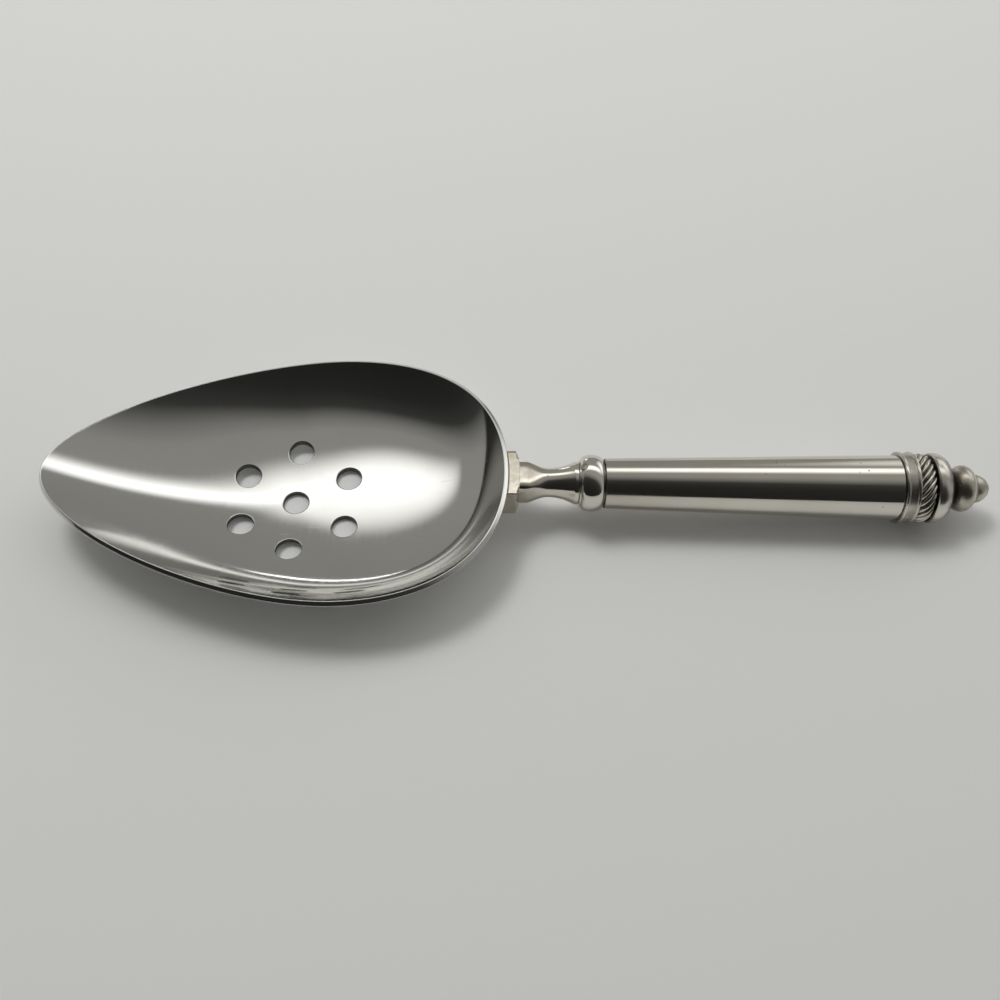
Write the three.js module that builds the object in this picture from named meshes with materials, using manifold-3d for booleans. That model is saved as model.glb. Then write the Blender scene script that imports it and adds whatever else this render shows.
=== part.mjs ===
// Pierced serving spoon with a hollow handle. Millimetres, +Z up.
// X runs along the spoon from the bowl's tip to the finial, and the table is at z = 0.
// The origin is on the table, midway along the spoon.

import * as THREE from 'three';
import { ParametricGeometry } from 'three/addons/geometries/ParametricGeometry.js';
import { mergeVertices } from 'three/addons/utils/BufferGeometryUtils.js';
import Module from 'manifold-3d';

// Bowl outline, seen from above
const BOWL_LENGTH = 124;
const BOWL_WIDTH = 80.9;
const WIDEST_FROM_TIP = 79.1;
const TIP_BLUNTNESS = 18;
const TIP_FLANK = 31;
const BACK_FLANK = 24.6;
const BACK_BLUNTNESS = 28.3;

// Bowl section: dish is the evenly curved share of the depth, wall is how sharply the rest turns up
const BOWL_SHEET = 1.4;
const RIM_HEIGHT = 14.75;
const RIM_RISE = 1.1;
const BASE_FLAT_DEPTH = 0.2;
const DISH = { side: 0.58, back: 0.18, tip: 0.8 };
const WALL = { side: 5.5, back: 7, tip: 3 };

// Piercing: one hole in the middle of a ring of six
const HOLE_DIAMETER = 6.9;
const HOLE_RING_RADIUS = 16.1;
const HOLES_FROM_TIP = 65.5;
const HOLES_IN_RING = 6;

// Neck: a flange fitted to the bowl, and a stem that goes from square to round.
// A section's power shapes its corners: 0 is sharp, 1 is fully round.
const FLANGE_WIDTH = 14.4;
const FLANGE_HEIGHT = 8.9;
const FLANGE_THICKNESS = 2.65;
const FLANGE_CHAMFER = 0.8;
const STEM_WIDTH = 9.5;
const STEM_HEIGHT = 8.2;
const STEM_SQUARE_LENGTH = 2.3;
const STEM_SQUARE_POWER = 0.12;
const STEM_ROUND_POWER = 1;
const WAIST_DIAMETER = 7.8;
const WAIST_FROM_FLANGE = 7.85;
const FLARE_DIAMETER = 11.5;
const FLARE_LENGTH = 7;
const FLARE_LIP = 1.05;

// Bead ring, handle tube and the rod inside them
const BEAD_DIAMETER = 15.3;
const BEAD_LENGTH = 6.3;
const BEAD_LIP_DIAMETER = 12.6;
const BEAD_LIP_LENGTH = 0.5;
const BEAD_SPIGOT_LENGTH = 8;
const TUBE_LENGTH = 78;
const TUBE_FRONT_DIAMETER = 13.4;
const TUBE_END_DIAMETER = 17.5;
const TUBE_WALL = 0.9;
const TANG_DIAMETER = 4;
const TANG_IN_STEM = 6;
const TANG_IN_TUBE = 48;

// Handle end: collar, rope ring, cap and finial
const COLLAR_LENGTH = 3.8;
const COLLAR_DIAMETER = 19.4;
const COLLAR_BAND_DEPTH = 0.35;
const COLLAR_LIP = 0.9;
const ROPE_WIDTH = 4.1;
const ROPE_DIAMETER = 18.8;
const ROPE_CROWN = 0.9;
const ROPE_STRANDS = 24;
const ROPE_GROOVE = 0.55;
const ROPE_LEAN_STRANDS = 2.35;
const CAP_LENGTH = 4.65;
const CAP_DIAMETER = 18.9;
const CAP_EDGE_BEVEL = 0.4;
const CAP_SHOULDER_LENGTH = 3.4;
const CAP_SHOULDER_HEIGHT = 3;
const CAP_SPIGOT_DIAMETER = 12;
const CAP_SPIGOT_IN_TUBE = 7;
const BALL_DIAMETER = 12.5;
const BALL_LENGTH = 8;
const BALL_NECK_DIAMETER = 7.6;
const BALL_NECK_LENGTH = 1.2;
const TIP_DIAMETER = 7.8;
const TIP_LENGTH = 4.3;
const TIP_STEP = 0.15;
const FINIAL_PIN_DIAMETER = 4.4;
const FINIAL_PIN_LENGTH = 5;

// Clearances, and how finely the round forms are cut into facets
const JOINT_GAP = 0.3;
const FIT_GAP = 0.3;
const TURNED_SIDES = 36;
const ROD_SIDES = 16;
const HOLE_SIDES = 24;
const BOWL_SPOKES = 64;
const BOWL_ROWS = 11;
const STEM_SIDES = 32;
const STEM_ROWS = 16;
const STRAND_FACETS = 6;
const ROPE_ROWS = 6;
const ARC_FACETS = 4;
const ROW_CROWDING = 1.4;
const WELD_DISTANCE = 1e-4;
const SLOPE_STEP = 1e-4;

const wasm = await Module();
wasm.setup();

// Welds a closed surface: one vertex per place, and no triangle that has shrunk to a line
function weld(geometry) {
  const bare = new THREE.BufferGeometry();
  bare.setAttribute('position', geometry.getAttribute('position').clone());
  const count = bare.getAttribute('position').count;
  const order = geometry.index ? Array.from(geometry.index.array) : Array.from({ length: count }, (_, i) => i);
  bare.setIndex(order);
  const welded = mergeVertices(bare, WELD_DISTANCE);
  const corners = welded.index.array;
  const kept = [];
  for (let i = 0; i < corners.length; i += 3) {
    const [a, b, c] = [corners[i], corners[i + 1], corners[i + 2]];
    if (a !== b && b !== c && c !== a) kept.push(a, b, c);
  }
  welded.setIndex(kept);
  return welded;
}

function toSolid(geometry) {
  const welded = weld(geometry);
  return new wasm.Manifold(new wasm.Mesh({
    numProp: 3,
    vertProperties: new Float32Array(welded.getAttribute('position').array),
    triVerts: new Uint32Array(welded.index.array),
  }));
}

function toGeometry(solid) {
  const mesh = solid.getMesh();
  const geometry = new THREE.BufferGeometry();
  geometry.setAttribute('position', new THREE.BufferAttribute(Float32Array.from(mesh.vertProperties), 3));
  geometry.setIndex(Array.from(mesh.triVerts));
  return geometry;
}

// Turns a profile of (radius, distance along the handle) points about the X axis
function turned(points, sides) {
  return weld(new THREE.LatheGeometry(points, sides).rotateZ(-Math.PI / 2));
}

// A closed surface from rows of points, each row a full turn, first and last rows shrunk to a point
function rowsToGeometry(pointAt, sides, rows) {
  const place = (u, v, target) => pointAt(u % 1, Math.round(v * rows), target);
  return weld(new ParametricGeometry(place, sides, rows));
}

function arc(path, x, y, radiusX, radiusY, from, to, clockwise) {
  path.absellipse(x, y, radiusX, radiusY, from, to, clockwise, 0);
  return path;
}

const profilePoints = (path) => path.getPoints(ARC_FACETS);
const mix = (from, to, share) => from + (to - from) * share;
const clamp01 = (value) => Math.min(Math.max(value, 0), 1);

// The places along the handle, measured from the bowl's back rim
const flangeBack = FLANGE_THICKNESS;
const waist = flangeBack + WAIST_FROM_FLANGE;
const flareTop = waist + FLARE_LENGTH;
const stemEnd = flareTop + FLARE_LIP;
const beadStart = stemEnd + JOINT_GAP;
const beadEnd = beadStart + BEAD_LENGTH;
const tubeStart = beadEnd + JOINT_GAP;
const tubeEnd = tubeStart + TUBE_LENGTH;
const collarStart = tubeEnd + JOINT_GAP;
const collarEnd = collarStart + COLLAR_LENGTH;
const ropeStart = collarEnd + JOINT_GAP;
const ropeEnd = ropeStart + ROPE_WIDTH;
const capStart = ropeEnd + JOINT_GAP;
const capEnd = capStart + CAP_LENGTH;
const neckStart = capEnd + JOINT_GAP;
const ballCentre = neckStart + BALL_NECK_LENGTH + ballHalfAtNeck();
const tipBase = ballCentre + ballHalfAtTip();
const finialEnd = tipBase + TIP_LENGTH;

// Where the flattened ball is as thick as the neck on one side, and as the tip's foot on the other
function ballHalfAt(radius) {
  return (BALL_LENGTH / 2) * Math.sqrt(1 - (2 * radius / BALL_DIAMETER) ** 2);
}

function ballHalfAtNeck() {
  return ballHalfAt(BALL_NECK_DIAMETER / 2);
}

function ballHalfAtTip() {
  return ballHalfAt(TIP_DIAMETER / 2 + TIP_STEP);
}

// The handle's height at the bowl puts the flange level with the rim; it leans until the collar
// rests on the table
const rimBackHeight = RIM_HEIGHT + RIM_RISE;
const handleHeight = rimBackHeight - FLANGE_HEIGHT / 2;
const collarRadius = COLLAR_DIAMETER / 2;
const collarReach = Math.hypot(collarEnd - COLLAR_LIP / 2, collarRadius);
const handleLean = Math.asin(handleHeight / collarReach) - Math.asin(collarRadius / collarReach);
const totalLength = BOWL_LENGTH + finialEnd * Math.cos(handleLean);
const tipX = -totalLength / 2;
const backX = tipX + BOWL_LENGTH;
const holesX = tipX + HOLES_FROM_TIP;

// Bowl outline: the half on the +Y side, from the back rim round to the tip
const widestX = tipX + WIDEST_FROM_TIP;
const halfWidth = BOWL_WIDTH / 2;
const halfOutline = new THREE.CurvePath();
halfOutline.add(new THREE.CubicBezierCurve(
  new THREE.Vector2(backX, 0),
  new THREE.Vector2(backX, BACK_BLUNTNESS),
  new THREE.Vector2(widestX + BACK_FLANK, halfWidth),
  new THREE.Vector2(widestX, halfWidth),
));
halfOutline.add(new THREE.CubicBezierCurve(
  new THREE.Vector2(widestX, halfWidth),
  new THREE.Vector2(widestX - TIP_FLANK, halfWidth),
  new THREE.Vector2(tipX, TIP_BLUNTNESS),
  new THREE.Vector2(tipX, 0),
));

// A spoke runs from the middle hole to a point of the outline; turn goes once round the outline
function spoke(turn) {
  const half = turn < 0.5 ? turn : 1 - turn;
  const edge = halfOutline.getPoint(2 * half);
  if (turn > 0.5) edge.y = -edge.y;
  const along = (edge.x - holesX) / Math.hypot(edge.x - holesX, edge.y);
  const end = along > 0 ? 'back' : 'tip';
  const fromMiddle = (edge.x - (tipX + backX) / 2) / (BOWL_LENGTH / 2);
  return {
    edge,
    rise: RIM_HEIGHT + RIM_RISE * fromMiddle ** 2 + BASE_FLAT_DEPTH,
    dish: mix(DISH.side, DISH[end], along ** 2),
    wall: mix(WALL.side, WALL[end], along ** 2),
  };
}

// The underside of the pressing, at a share of the way along a spoke
function undersidePoint(turn, share) {
  const { edge, rise, dish, wall } = spoke(turn);
  const lift = rise * (dish * share ** 2 + (1 - dish) * share ** wall);
  return new THREE.Vector3(mix(holesX, edge.x, share), edge.y * share, lift - BASE_FLAT_DEPTH);
}

// The direction into the bowl, square to the sheet
function sheetNormal(turn, share) {
  if (share < SLOPE_STEP) return new THREE.Vector3(0, 0, 1);
  const nearer = undersidePoint(turn, share - SLOPE_STEP);
  const out = undersidePoint(turn, share + SLOPE_STEP).sub(nearer);
  const before = undersidePoint((turn + 1 - SLOPE_STEP) % 1, share);
  const round = undersidePoint((turn + SLOPE_STEP) % 1, share).sub(before);
  return out.cross(round).normalize();
}

function sheetPoint(turn, share, offset) {
  return undersidePoint(turn, share).addScaledVector(sheetNormal(turn, share), offset);
}

// Rows lie closer together towards the rim, where the wall turns up
const rowShare = (row) => 1 - (1 - row / BOWL_ROWS) ** ROW_CROWDING;

// The sheet as one closed skin: out along the underside, over the rim, back along the inside
function pressing() {
  const rows = 2 * BOWL_ROWS + 1;
  return rowsToGeometry((turn, row, target) => {
    const inside = row > BOWL_ROWS;
    const share = rowShare(inside ? rows - row : row);
    target.copy(sheetPoint(turn, share, inside ? BOWL_SHEET : 0));
  }, BOWL_SPOKES, rows);
}

// Everything inside the bowl's outer skin and a gap around it, carried on past the rim, to cut the
// flange's fitted face with
function bowlRoom() {
  const reach = 1 + FLANGE_HEIGHT / BOWL_LENGTH;
  const lid = sheetPoint(0, reach, 0).z;
  return rowsToGeometry((turn, row, target) => {
    if (row > BOWL_ROWS) target.set(holesX, 0, lid);
    else target.copy(sheetPoint(turn, rowShare(row) * reach, -JOINT_GAP));
  }, BOWL_SPOKES, BOWL_ROWS + 1);
}

function bowl() {
  let sheet = toSolid(pressing());
  const deep = RIM_HEIGHT;
  const ground = new THREE.BoxGeometry(BOWL_LENGTH, BOWL_WIDTH, deep).translate(holesX, 0, -deep / 2);
  sheet = sheet.subtract(toSolid(ground));
  const punch = new THREE.CylinderGeometry(HOLE_DIAMETER / 2, HOLE_DIAMETER / 2, 2 * deep, HOLE_SIDES);
  punch.rotateX(Math.PI / 2);
  for (let i = 0; i <= HOLES_IN_RING; i += 1) {
    const angle = (i + 0.5) * (2 * Math.PI / HOLES_IN_RING);
    const radius = i < HOLES_IN_RING ? HOLE_RING_RADIUS : 0;
    const place = punch.clone();
    place.translate(holesX + radius * Math.cos(angle), radius * Math.sin(angle), 0);
    sheet = sheet.subtract(toSolid(place));
  }
  return toGeometry(sheet);
}

// Handle frame: X along the handle from the back rim, its axis at the flange's middle
const handle = new THREE.Group();
handle.position.set(backX, 0, handleHeight);
handle.rotation.y = handleLean;
handle.updateMatrix();

// Half the stem's width or height: two coves that meet at the waist
function stemHalf(x, square) {
  const round = WAIST_DIAMETER / 2;
  if (x < waist) {
    const squareEnd = flangeBack + STEM_SQUARE_LENGTH;
    return mix(round, square, clamp01((waist - x) / (waist - squareEnd)) ** 2);
  }
  return mix(round, FLARE_DIAMETER / 2, clamp01((x - waist) / FLARE_LENGTH) ** 2);
}

// The section's power: nearly square at the flange, fully round at the waist
function stemPower(x) {
  const squareEnd = flangeBack + STEM_SQUARE_LENGTH;
  return mix(STEM_SQUARE_POWER, STEM_ROUND_POWER, clamp01((x - squareEnd) / (waist - squareEnd)));
}

function stem() {
  const start = flangeBack - FLANGE_CHAMFER;
  return rowsToGeometry((turn, row, target) => {
    const x = mix(start, stemEnd, clamp01((row - 1) / (STEM_ROWS - 2)));
    const middle = row === 0 || row === STEM_ROWS;
    const power = stemPower(x);
    const angle = 2 * Math.PI * turn;
    const bulge = (value) => Math.sign(value) * Math.abs(value) ** power;
    const y = stemHalf(x, STEM_WIDTH / 2) * bulge(Math.cos(angle));
    const z = stemHalf(x, STEM_HEIGHT / 2) * bulge(Math.sin(angle));
    target.set(x, middle ? 0 : y, middle ? 0 : z);
  }, STEM_SIDES, STEM_ROWS);
}

function flange() {
  const half = FLANGE_WIDTH / 2;
  const front = -FLANGE_HEIGHT;
  const plan = new THREE.Shape();
  plan.moveTo(front, -half);
  plan.lineTo(flangeBack - FLANGE_CHAMFER, -half);
  plan.lineTo(flangeBack, -STEM_WIDTH / 2);
  plan.lineTo(flangeBack, STEM_WIDTH / 2);
  plan.lineTo(flangeBack - FLANGE_CHAMFER, half);
  plan.lineTo(front, half);
  const block = new THREE.ExtrudeGeometry(plan, { depth: FLANGE_HEIGHT, bevelEnabled: false });
  return block.translate(0, 0, -FLANGE_HEIGHT / 2);
}

const tangRadius = TANG_DIAMETER / 2;
const tangBore = tangRadius + FIT_GAP;

function rod(radius, from, to, sides) {
  const profile = new THREE.Path().moveTo(0, from).lineTo(radius, from).lineTo(radius, to).lineTo(0, to);
  return turned(profile.getPoints(), sides);
}

function neck() {
  const room = bowlRoom().applyMatrix4(handle.matrix.clone().invert());
  const socket = rod(tangBore, stemEnd - TANG_IN_STEM - FIT_GAP, stemEnd + FLARE_LIP, ROD_SIDES);
  const casting = toSolid(flange()).subtract(toSolid(room)).add(toSolid(stem()));
  return toGeometry(casting.subtract(toSolid(socket)));
}

// The tube's bore narrows towards the front, as its outside does
const tubeRadius = (x) => mix(TUBE_FRONT_DIAMETER, TUBE_END_DIAMETER, (x - tubeStart) / TUBE_LENGTH) / 2;
const boreRadius = (x) => tubeRadius(x) - TUBE_WALL;

const beadSpigotEnd = tubeStart + BEAD_SPIGOT_LENGTH;
const capSpigotStart = tubeEnd - CAP_SPIGOT_IN_TUBE;
const tangEnd = tubeStart + TANG_IN_TUBE;

function beadRing() {
  const spigot = boreRadius(tubeStart) - FIT_GAP;
  const lip = BEAD_LIP_DIAMETER / 2;
  const half = BEAD_LENGTH / 2;
  const round = half - BEAD_LIP_LENGTH;
  const profile = new THREE.Path().moveTo(tangBore, beadStart).lineTo(lip, beadStart);
  profile.lineTo(lip, beadStart + BEAD_LIP_LENGTH);
  arc(profile, lip, beadStart + half, BEAD_DIAMETER / 2 - lip, round, -Math.PI / 2, Math.PI / 2, false);
  profile.lineTo(lip, beadEnd).lineTo(spigot, beadEnd);
  profile.lineTo(spigot, beadSpigotEnd).lineTo(tangBore, beadSpigotEnd).lineTo(tangBore, beadStart);
  return turned(profilePoints(profile), TURNED_SIDES);
}

function handleTube() {
  const profile = new THREE.Path().moveTo(boreRadius(tubeStart), tubeStart);
  profile.lineTo(tubeRadius(tubeStart), tubeStart).lineTo(tubeRadius(tubeEnd), tubeEnd);
  profile.lineTo(boreRadius(tubeEnd), tubeEnd).lineTo(boreRadius(tubeStart), tubeStart);
  return turned(profile.getPoints(), TURNED_SIDES);
}

function handleCement() {
  const start = beadSpigotEnd + JOINT_GAP;
  const end = capSpigotStart - JOINT_GAP;
  const bored = tangEnd + FIT_GAP;
  const profile = new THREE.Path().moveTo(tangBore, start).lineTo(boreRadius(start) - FIT_GAP, start);
  profile.lineTo(boreRadius(end) - FIT_GAP, end).lineTo(0, end).lineTo(0, bored);
  profile.lineTo(tangBore, bored).lineTo(tangBore, start);
  return turned(profile.getPoints(), TURNED_SIDES);
}

const capSpigot = CAP_SPIGOT_DIAMETER / 2;
const ringBore = capSpigot + FIT_GAP;

function endCollar() {
  const lip = COLLAR_LIP / 2;
  const crown = collarRadius - lip;
  const band = collarRadius - COLLAR_BAND_DEPTH;
  const profile = new THREE.Path().moveTo(ringBore, collarStart).lineTo(crown, collarStart);
  arc(profile, crown, collarStart + lip, lip, lip, -Math.PI / 2, 0, false);
  profile.lineTo(band, collarStart + COLLAR_LIP).lineTo(band, collarEnd - COLLAR_LIP);
  profile.lineTo(collarRadius, collarEnd - lip);
  arc(profile, crown, collarEnd - lip, lip, lip, 0, Math.PI / 2, false);
  profile.lineTo(ringBore, collarEnd).lineTo(ringBore, collarStart);
  return turned(profilePoints(profile), TURNED_SIDES);
}

// The rope: a barrel whose surface is a row of rounded strands, each leaning as it crosses the ring
function ropeRing() {
  const sides = ROPE_STRANDS * STRAND_FACETS;
  const lastOuter = ROPE_ROWS;
  const rows = ROPE_ROWS + 3;
  return rowsToGeometry((turn, row, target) => {
    const around = row % rows;
    const outer = around <= lastOuter;
    const across = outer ? around / ROPE_ROWS : Number(around === lastOuter + 1);
    const lean = outer ? (across - 0.5) * ROPE_LEAN_STRANDS / ROPE_STRANDS : 0;
    const strand = (turn * ROPE_STRANDS) % 1;
    const hump = 1 - (2 * strand - 1) ** 2;
    const barrel = ROPE_DIAMETER / 2 - ROPE_CROWN * (2 * across - 1) ** 2;
    const radius = outer ? barrel - ROPE_GROOVE * (1 - hump) : ringBore;
    const angle = 2 * Math.PI * (lean - turn);
    target.set(mix(ropeStart, ropeEnd, across), radius * Math.sin(angle), radius * Math.cos(angle));
  }, sides, rows);
}

function endCap() {
  const radius = CAP_DIAMETER / 2;
  const shoulder = radius - CAP_SHOULDER_HEIGHT;
  const pin = FINIAL_PIN_DIAMETER / 2 + FIT_GAP;
  const pinFloor = capEnd - FINIAL_PIN_LENGTH - FIT_GAP;
  const profile = new THREE.Path().moveTo(0, capSpigotStart).lineTo(capSpigot, capSpigotStart);
  profile.lineTo(capSpigot, capStart).lineTo(radius - CAP_EDGE_BEVEL, capStart);
  profile.lineTo(radius, capStart + CAP_EDGE_BEVEL).lineTo(radius, capEnd - CAP_SHOULDER_LENGTH);
  const foot = capEnd - CAP_SHOULDER_LENGTH;
  arc(profile, shoulder, foot, CAP_SHOULDER_HEIGHT, CAP_SHOULDER_LENGTH, 0, Math.PI / 2, false);
  profile.lineTo(pin, capEnd).lineTo(pin, pinFloor).lineTo(0, pinFloor);
  return turned(profilePoints(profile), TURNED_SIDES);
}

function finial() {
  const pin = FINIAL_PIN_DIAMETER / 2;
  const neckRadius = BALL_NECK_DIAMETER / 2;
  const ballRadius = BALL_DIAMETER / 2;
  const tipRadius = TIP_DIAMETER / 2;
  const fromAngle = -Math.acos(neckRadius / ballRadius);
  const toAngle = Math.acos((tipRadius + TIP_STEP) / ballRadius);
  const profile = new THREE.Path().moveTo(0, capEnd - FINIAL_PIN_LENGTH).lineTo(pin, capEnd - FINIAL_PIN_LENGTH);
  profile.lineTo(pin, neckStart).lineTo(neckRadius, neckStart);
  arc(profile, 0, ballCentre, ballRadius, BALL_LENGTH / 2, fromAngle, toAngle, false);
  arc(profile, 0, tipBase, tipRadius, TIP_LENGTH, 0, Math.PI / 2, false);
  return turned(profilePoints(profile), TURNED_SIDES);
}

// Finishes: cool polished steel for the bowl, warmer plated metal for the handle
const polishedSteel = { color: 0xc6c8ca, roughness: 0.12, metalness: 1 };
const platedMetal = { color: 0xc9c3b6, roughness: 0.2, metalness: 1 };
const agedPlate = { color: 0xa9a294, roughness: 0.35, metalness: 1 };
const plainSteel = { color: 0x8d8f92, roughness: 0.45, metalness: 1 };
const filler = { color: 0x5b4a3a, roughness: 0.9, metalness: 0 };

function piece(name, geometry, finish) {
  const mesh = new THREE.Mesh(geometry, new THREE.MeshStandardMaterial(finish));
  mesh.name = name;
  return mesh;
}

handle.add(
  piece('neck', neck(), platedMetal),
  piece('bead_ring', beadRing(), platedMetal),
  piece('tang', rod(tangRadius, stemEnd - TANG_IN_STEM, tangEnd, ROD_SIDES), plainSteel),
  piece('handle_tube', handleTube(), platedMetal),
  piece('handle_cement', handleCement(), filler),
  piece('end_collar', endCollar(), agedPlate),
  piece('rope_ring', ropeRing(), agedPlate),
  piece('end_cap', endCap(), agedPlate),
  piece('finial', finial(), agedPlate),
);

const spoon = new THREE.Group();
spoon.name = 'serving_spoon';
spoon.add(piece('bowl', bowl(), polishedSteel), handle);

export default spoon;
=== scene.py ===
# %% [markdown]
# A pierced serving spoon with a hollow handle.
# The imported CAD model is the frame: it says where every piece is, in metres, with +Z up and the
# spoon lying along X. Each visible piece is made again here as a smooth numpy surface, from the same
# sizes as the CAD, because polished metal shows every facet of a coarse mesh.

# %% Load the frame
import math
import bmesh
import bpy
import numpy as np
from mathutils import Matrix, Quaternion, Vector


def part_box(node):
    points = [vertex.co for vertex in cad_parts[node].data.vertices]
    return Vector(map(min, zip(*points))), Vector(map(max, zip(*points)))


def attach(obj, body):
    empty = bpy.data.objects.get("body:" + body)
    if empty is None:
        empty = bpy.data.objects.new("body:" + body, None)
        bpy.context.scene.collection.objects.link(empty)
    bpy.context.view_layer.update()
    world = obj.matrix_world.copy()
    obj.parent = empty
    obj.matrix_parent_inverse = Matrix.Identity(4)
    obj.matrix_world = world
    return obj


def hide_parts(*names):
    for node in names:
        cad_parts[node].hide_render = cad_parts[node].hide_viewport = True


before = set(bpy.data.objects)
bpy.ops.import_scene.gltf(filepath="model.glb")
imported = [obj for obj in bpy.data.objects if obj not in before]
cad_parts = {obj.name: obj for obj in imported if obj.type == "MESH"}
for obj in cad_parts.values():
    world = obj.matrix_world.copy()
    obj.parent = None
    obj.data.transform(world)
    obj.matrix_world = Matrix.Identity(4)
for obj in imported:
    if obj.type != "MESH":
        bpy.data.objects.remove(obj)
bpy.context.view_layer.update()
print("CAD nodes:", sorted(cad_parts))

# %% [markdown]
# The sizes below are the CAD's own, in millimetres. Blender works in metres, so every mesh is scaled
# once, at the moment it is made.

# %% Sizes of the bowl and of the whole spoon
MM = 0.001
BOWL_LENGTH = 124.0
BOWL_WIDTH = 80.9
WIDEST_FROM_TIP = 79.1
TIP_BLUNTNESS = 18.0
TIP_FLANK = 31.0
BACK_FLANK = 24.6
BACK_BLUNTNESS = 28.3
BOWL_SHEET = 1.4
RIM_HEIGHT = 14.75
RIM_RISE = 1.1
BASE_FLAT_DEPTH = 0.2
HOLE_RADIUS = 3.45
HOLE_RING_RADIUS = 16.1
HOLES_FROM_TIP = 65.5
JOINT_GAP = 0.3
FIT_GAP = 0.3

tip_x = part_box("bowl")[0].x / MM
back_x = tip_x + BOWL_LENGTH
holes_x = tip_x + HOLES_FROM_TIP
widest_x = tip_x + WIDEST_FROM_TIP
print(f"bowl from x = {tip_x:.2f} to {back_x:.2f} mm")

# %% [markdown]
# Every piece becomes a mesh in the same way: a grid of points, with faces between neighbouring rows.
# Points that fall on the same place are welded, so a row shrunk to a point becomes a closed pole and
# two patches that meet become one skin.

# %% From grids of points to one mesh object
WELD_REACH = 2e-7


def ring_faces(rows, columns, first=0):
    """Quads of a grid whose rows are closed rings: a point, the next one round, and the two beyond."""
    index = first + np.arange(rows * columns).reshape(rows, columns)
    beside = np.roll(index, -1, axis=1)
    return np.stack([index[:-1], beside[:-1], beside[1:], index[1:]], axis=-1).reshape(-1, 4)


def weld(mesh):
    """Merge points that share a place, which also drops the faces that shrink to a line."""
    skin = bmesh.new()
    skin.from_mesh(mesh)
    bmesh.ops.remove_doubles(skin, verts=skin.verts, dist=WELD_REACH)
    skin.to_mesh(mesh)
    skin.free()


def make_piece(name, grids, **marks):
    """A smooth mesh object from closed-ring grids (rows, columns, xyz) in millimetres.

    Each mark is a value for every point, kept on the mesh under its own name for the finishes. In a
    closed skin every edge has two faces, so the face corners number twice the edges.
    """
    points = np.concatenate([grid.reshape(-1, 3) for grid in grids])
    starts = np.cumsum([0] + [grid.shape[0] * grid.shape[1] for grid in grids[:-1]])
    quads = np.concatenate([ring_faces(*grid.shape[:2], start) for grid, start in zip(grids, starts)])
    mesh = bpy.data.meshes.new(name)
    mesh.from_pydata((points * MM).tolist(), [], quads.tolist())
    for mark, values in marks.items():
        attribute = mesh.attributes.new(mark, "FLOAT", "POINT")
        attribute.data.foreach_set("value", np.asarray(values, float).reshape(-1))
    weld(mesh)
    mesh.polygons.foreach_set("use_smooth", np.ones(len(mesh.polygons), bool))
    mesh.update()
    piece = bpy.data.objects.new(name, mesh)
    bpy.context.scene.collection.objects.link(piece)
    state = "closed" if len(mesh.loops) == 2 * len(mesh.edges) else "open"
    print(f"{name}: {len(mesh.vertices)} points, {len(mesh.polygons)} faces, {state}")
    return piece


# %% [markdown]
# The bowl is one sheet of steel pressed over a former and pierced by seven punched holes. A boolean
# cut would leave long thin faces round each hole, and mirror polish shows them as dents. Instead, the
# plan is cut into patches that fit the holes: one hexagon round each hole, as in a honeycomb, and one
# ring of spokes from the honeycomb to the rim.

# %% Bowl outline
OUTLINE_STEPS = 6000


def bezier(p0, p1, p2, p3, t):
    """Cubic curve: the four corner points weighted by the Bernstein polynomials of t."""
    t = t[:, None]
    p0, p1, p2, p3 = (np.array(p) for p in (p0, p1, p2, p3))
    return (1 - t) ** 3 * p0 + 3 * (1 - t) ** 2 * t * p1 + 3 * (1 - t) * t**2 * p2 + t**3 * p3


t = np.linspace(0, 1, OUTLINE_STEPS)
half = BOWL_WIDTH / 2
back_flank = (widest_x + BACK_FLANK, half)
tip_flank = (widest_x - TIP_FLANK, half)
back_half = bezier((back_x, 0), (back_x, BACK_BLUNTNESS), back_flank, (widest_x, half), t)
tip_half = bezier((widest_x, half), tip_flank, (tip_x, TIP_BLUNTNESS), (tip_x, 0), t)
outline = np.vstack([back_half, tip_half[1:]])
outline_angle = np.arctan2(outline[:, 1], outline[:, 0] - holes_x)
outline_reach = np.hypot(outline[:, 0] - holes_x, outline[:, 1])


def rim_reach(angle):
    """Distance from the middle hole to the rim, in the direction of an angle about that hole."""
    turn = np.abs(np.arctan2(np.sin(angle), np.cos(angle)))
    return np.interp(turn, outline_angle, outline_reach)


print(f"rim at {rim_reach(0.0):.1f} mm behind the middle hole and {rim_reach(math.pi):.1f} mm before it")

# %% [markdown]
# Pressing lifts the sheet from a flat base to the rim. Its height mixes two powers of the way out to
# the rim: a low one for the shallow dish and a high one for the steep wall. The mix turns with the
# direction, because the real bowl runs out flat at the tip, like a scoop, and is steep at the back.

# %% Depth of the pressed sheet
DISH_SIDE, DISH_BACK, DISH_TIP = 0.58, 0.18, 0.8
WALL_SIDE, WALL_BACK, WALL_TIP = 5.5, 7.0, 3.0
SLOPE_STEP = 0.05


def pressed_height(x, y):
    """Underside height: the rim's rise times a mix of share^2, the dish, and share^power, the wall.

    The share is the distance from the middle hole over the rim's distance in that direction.
    """
    angle = np.arctan2(y, x - holes_x)
    reach = rim_reach(angle)
    share = np.hypot(x - holes_x, y) / reach
    along = np.cos(angle)
    dish = DISH_SIDE + (np.where(along > 0, DISH_BACK, DISH_TIP) - DISH_SIDE) * along**2
    wall = WALL_SIDE + (np.where(along > 0, WALL_BACK, WALL_TIP) - WALL_SIDE) * along**2
    from_middle = (holes_x + reach * along - (tip_x + back_x) / 2) / (BOWL_LENGTH / 2)
    rise = RIM_HEIGHT + RIM_RISE * from_middle**2 + BASE_FLAT_DEPTH
    return rise * (dish * share**2 + (1 - dish) * share**wall) - BASE_FLAT_DEPTH


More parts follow.
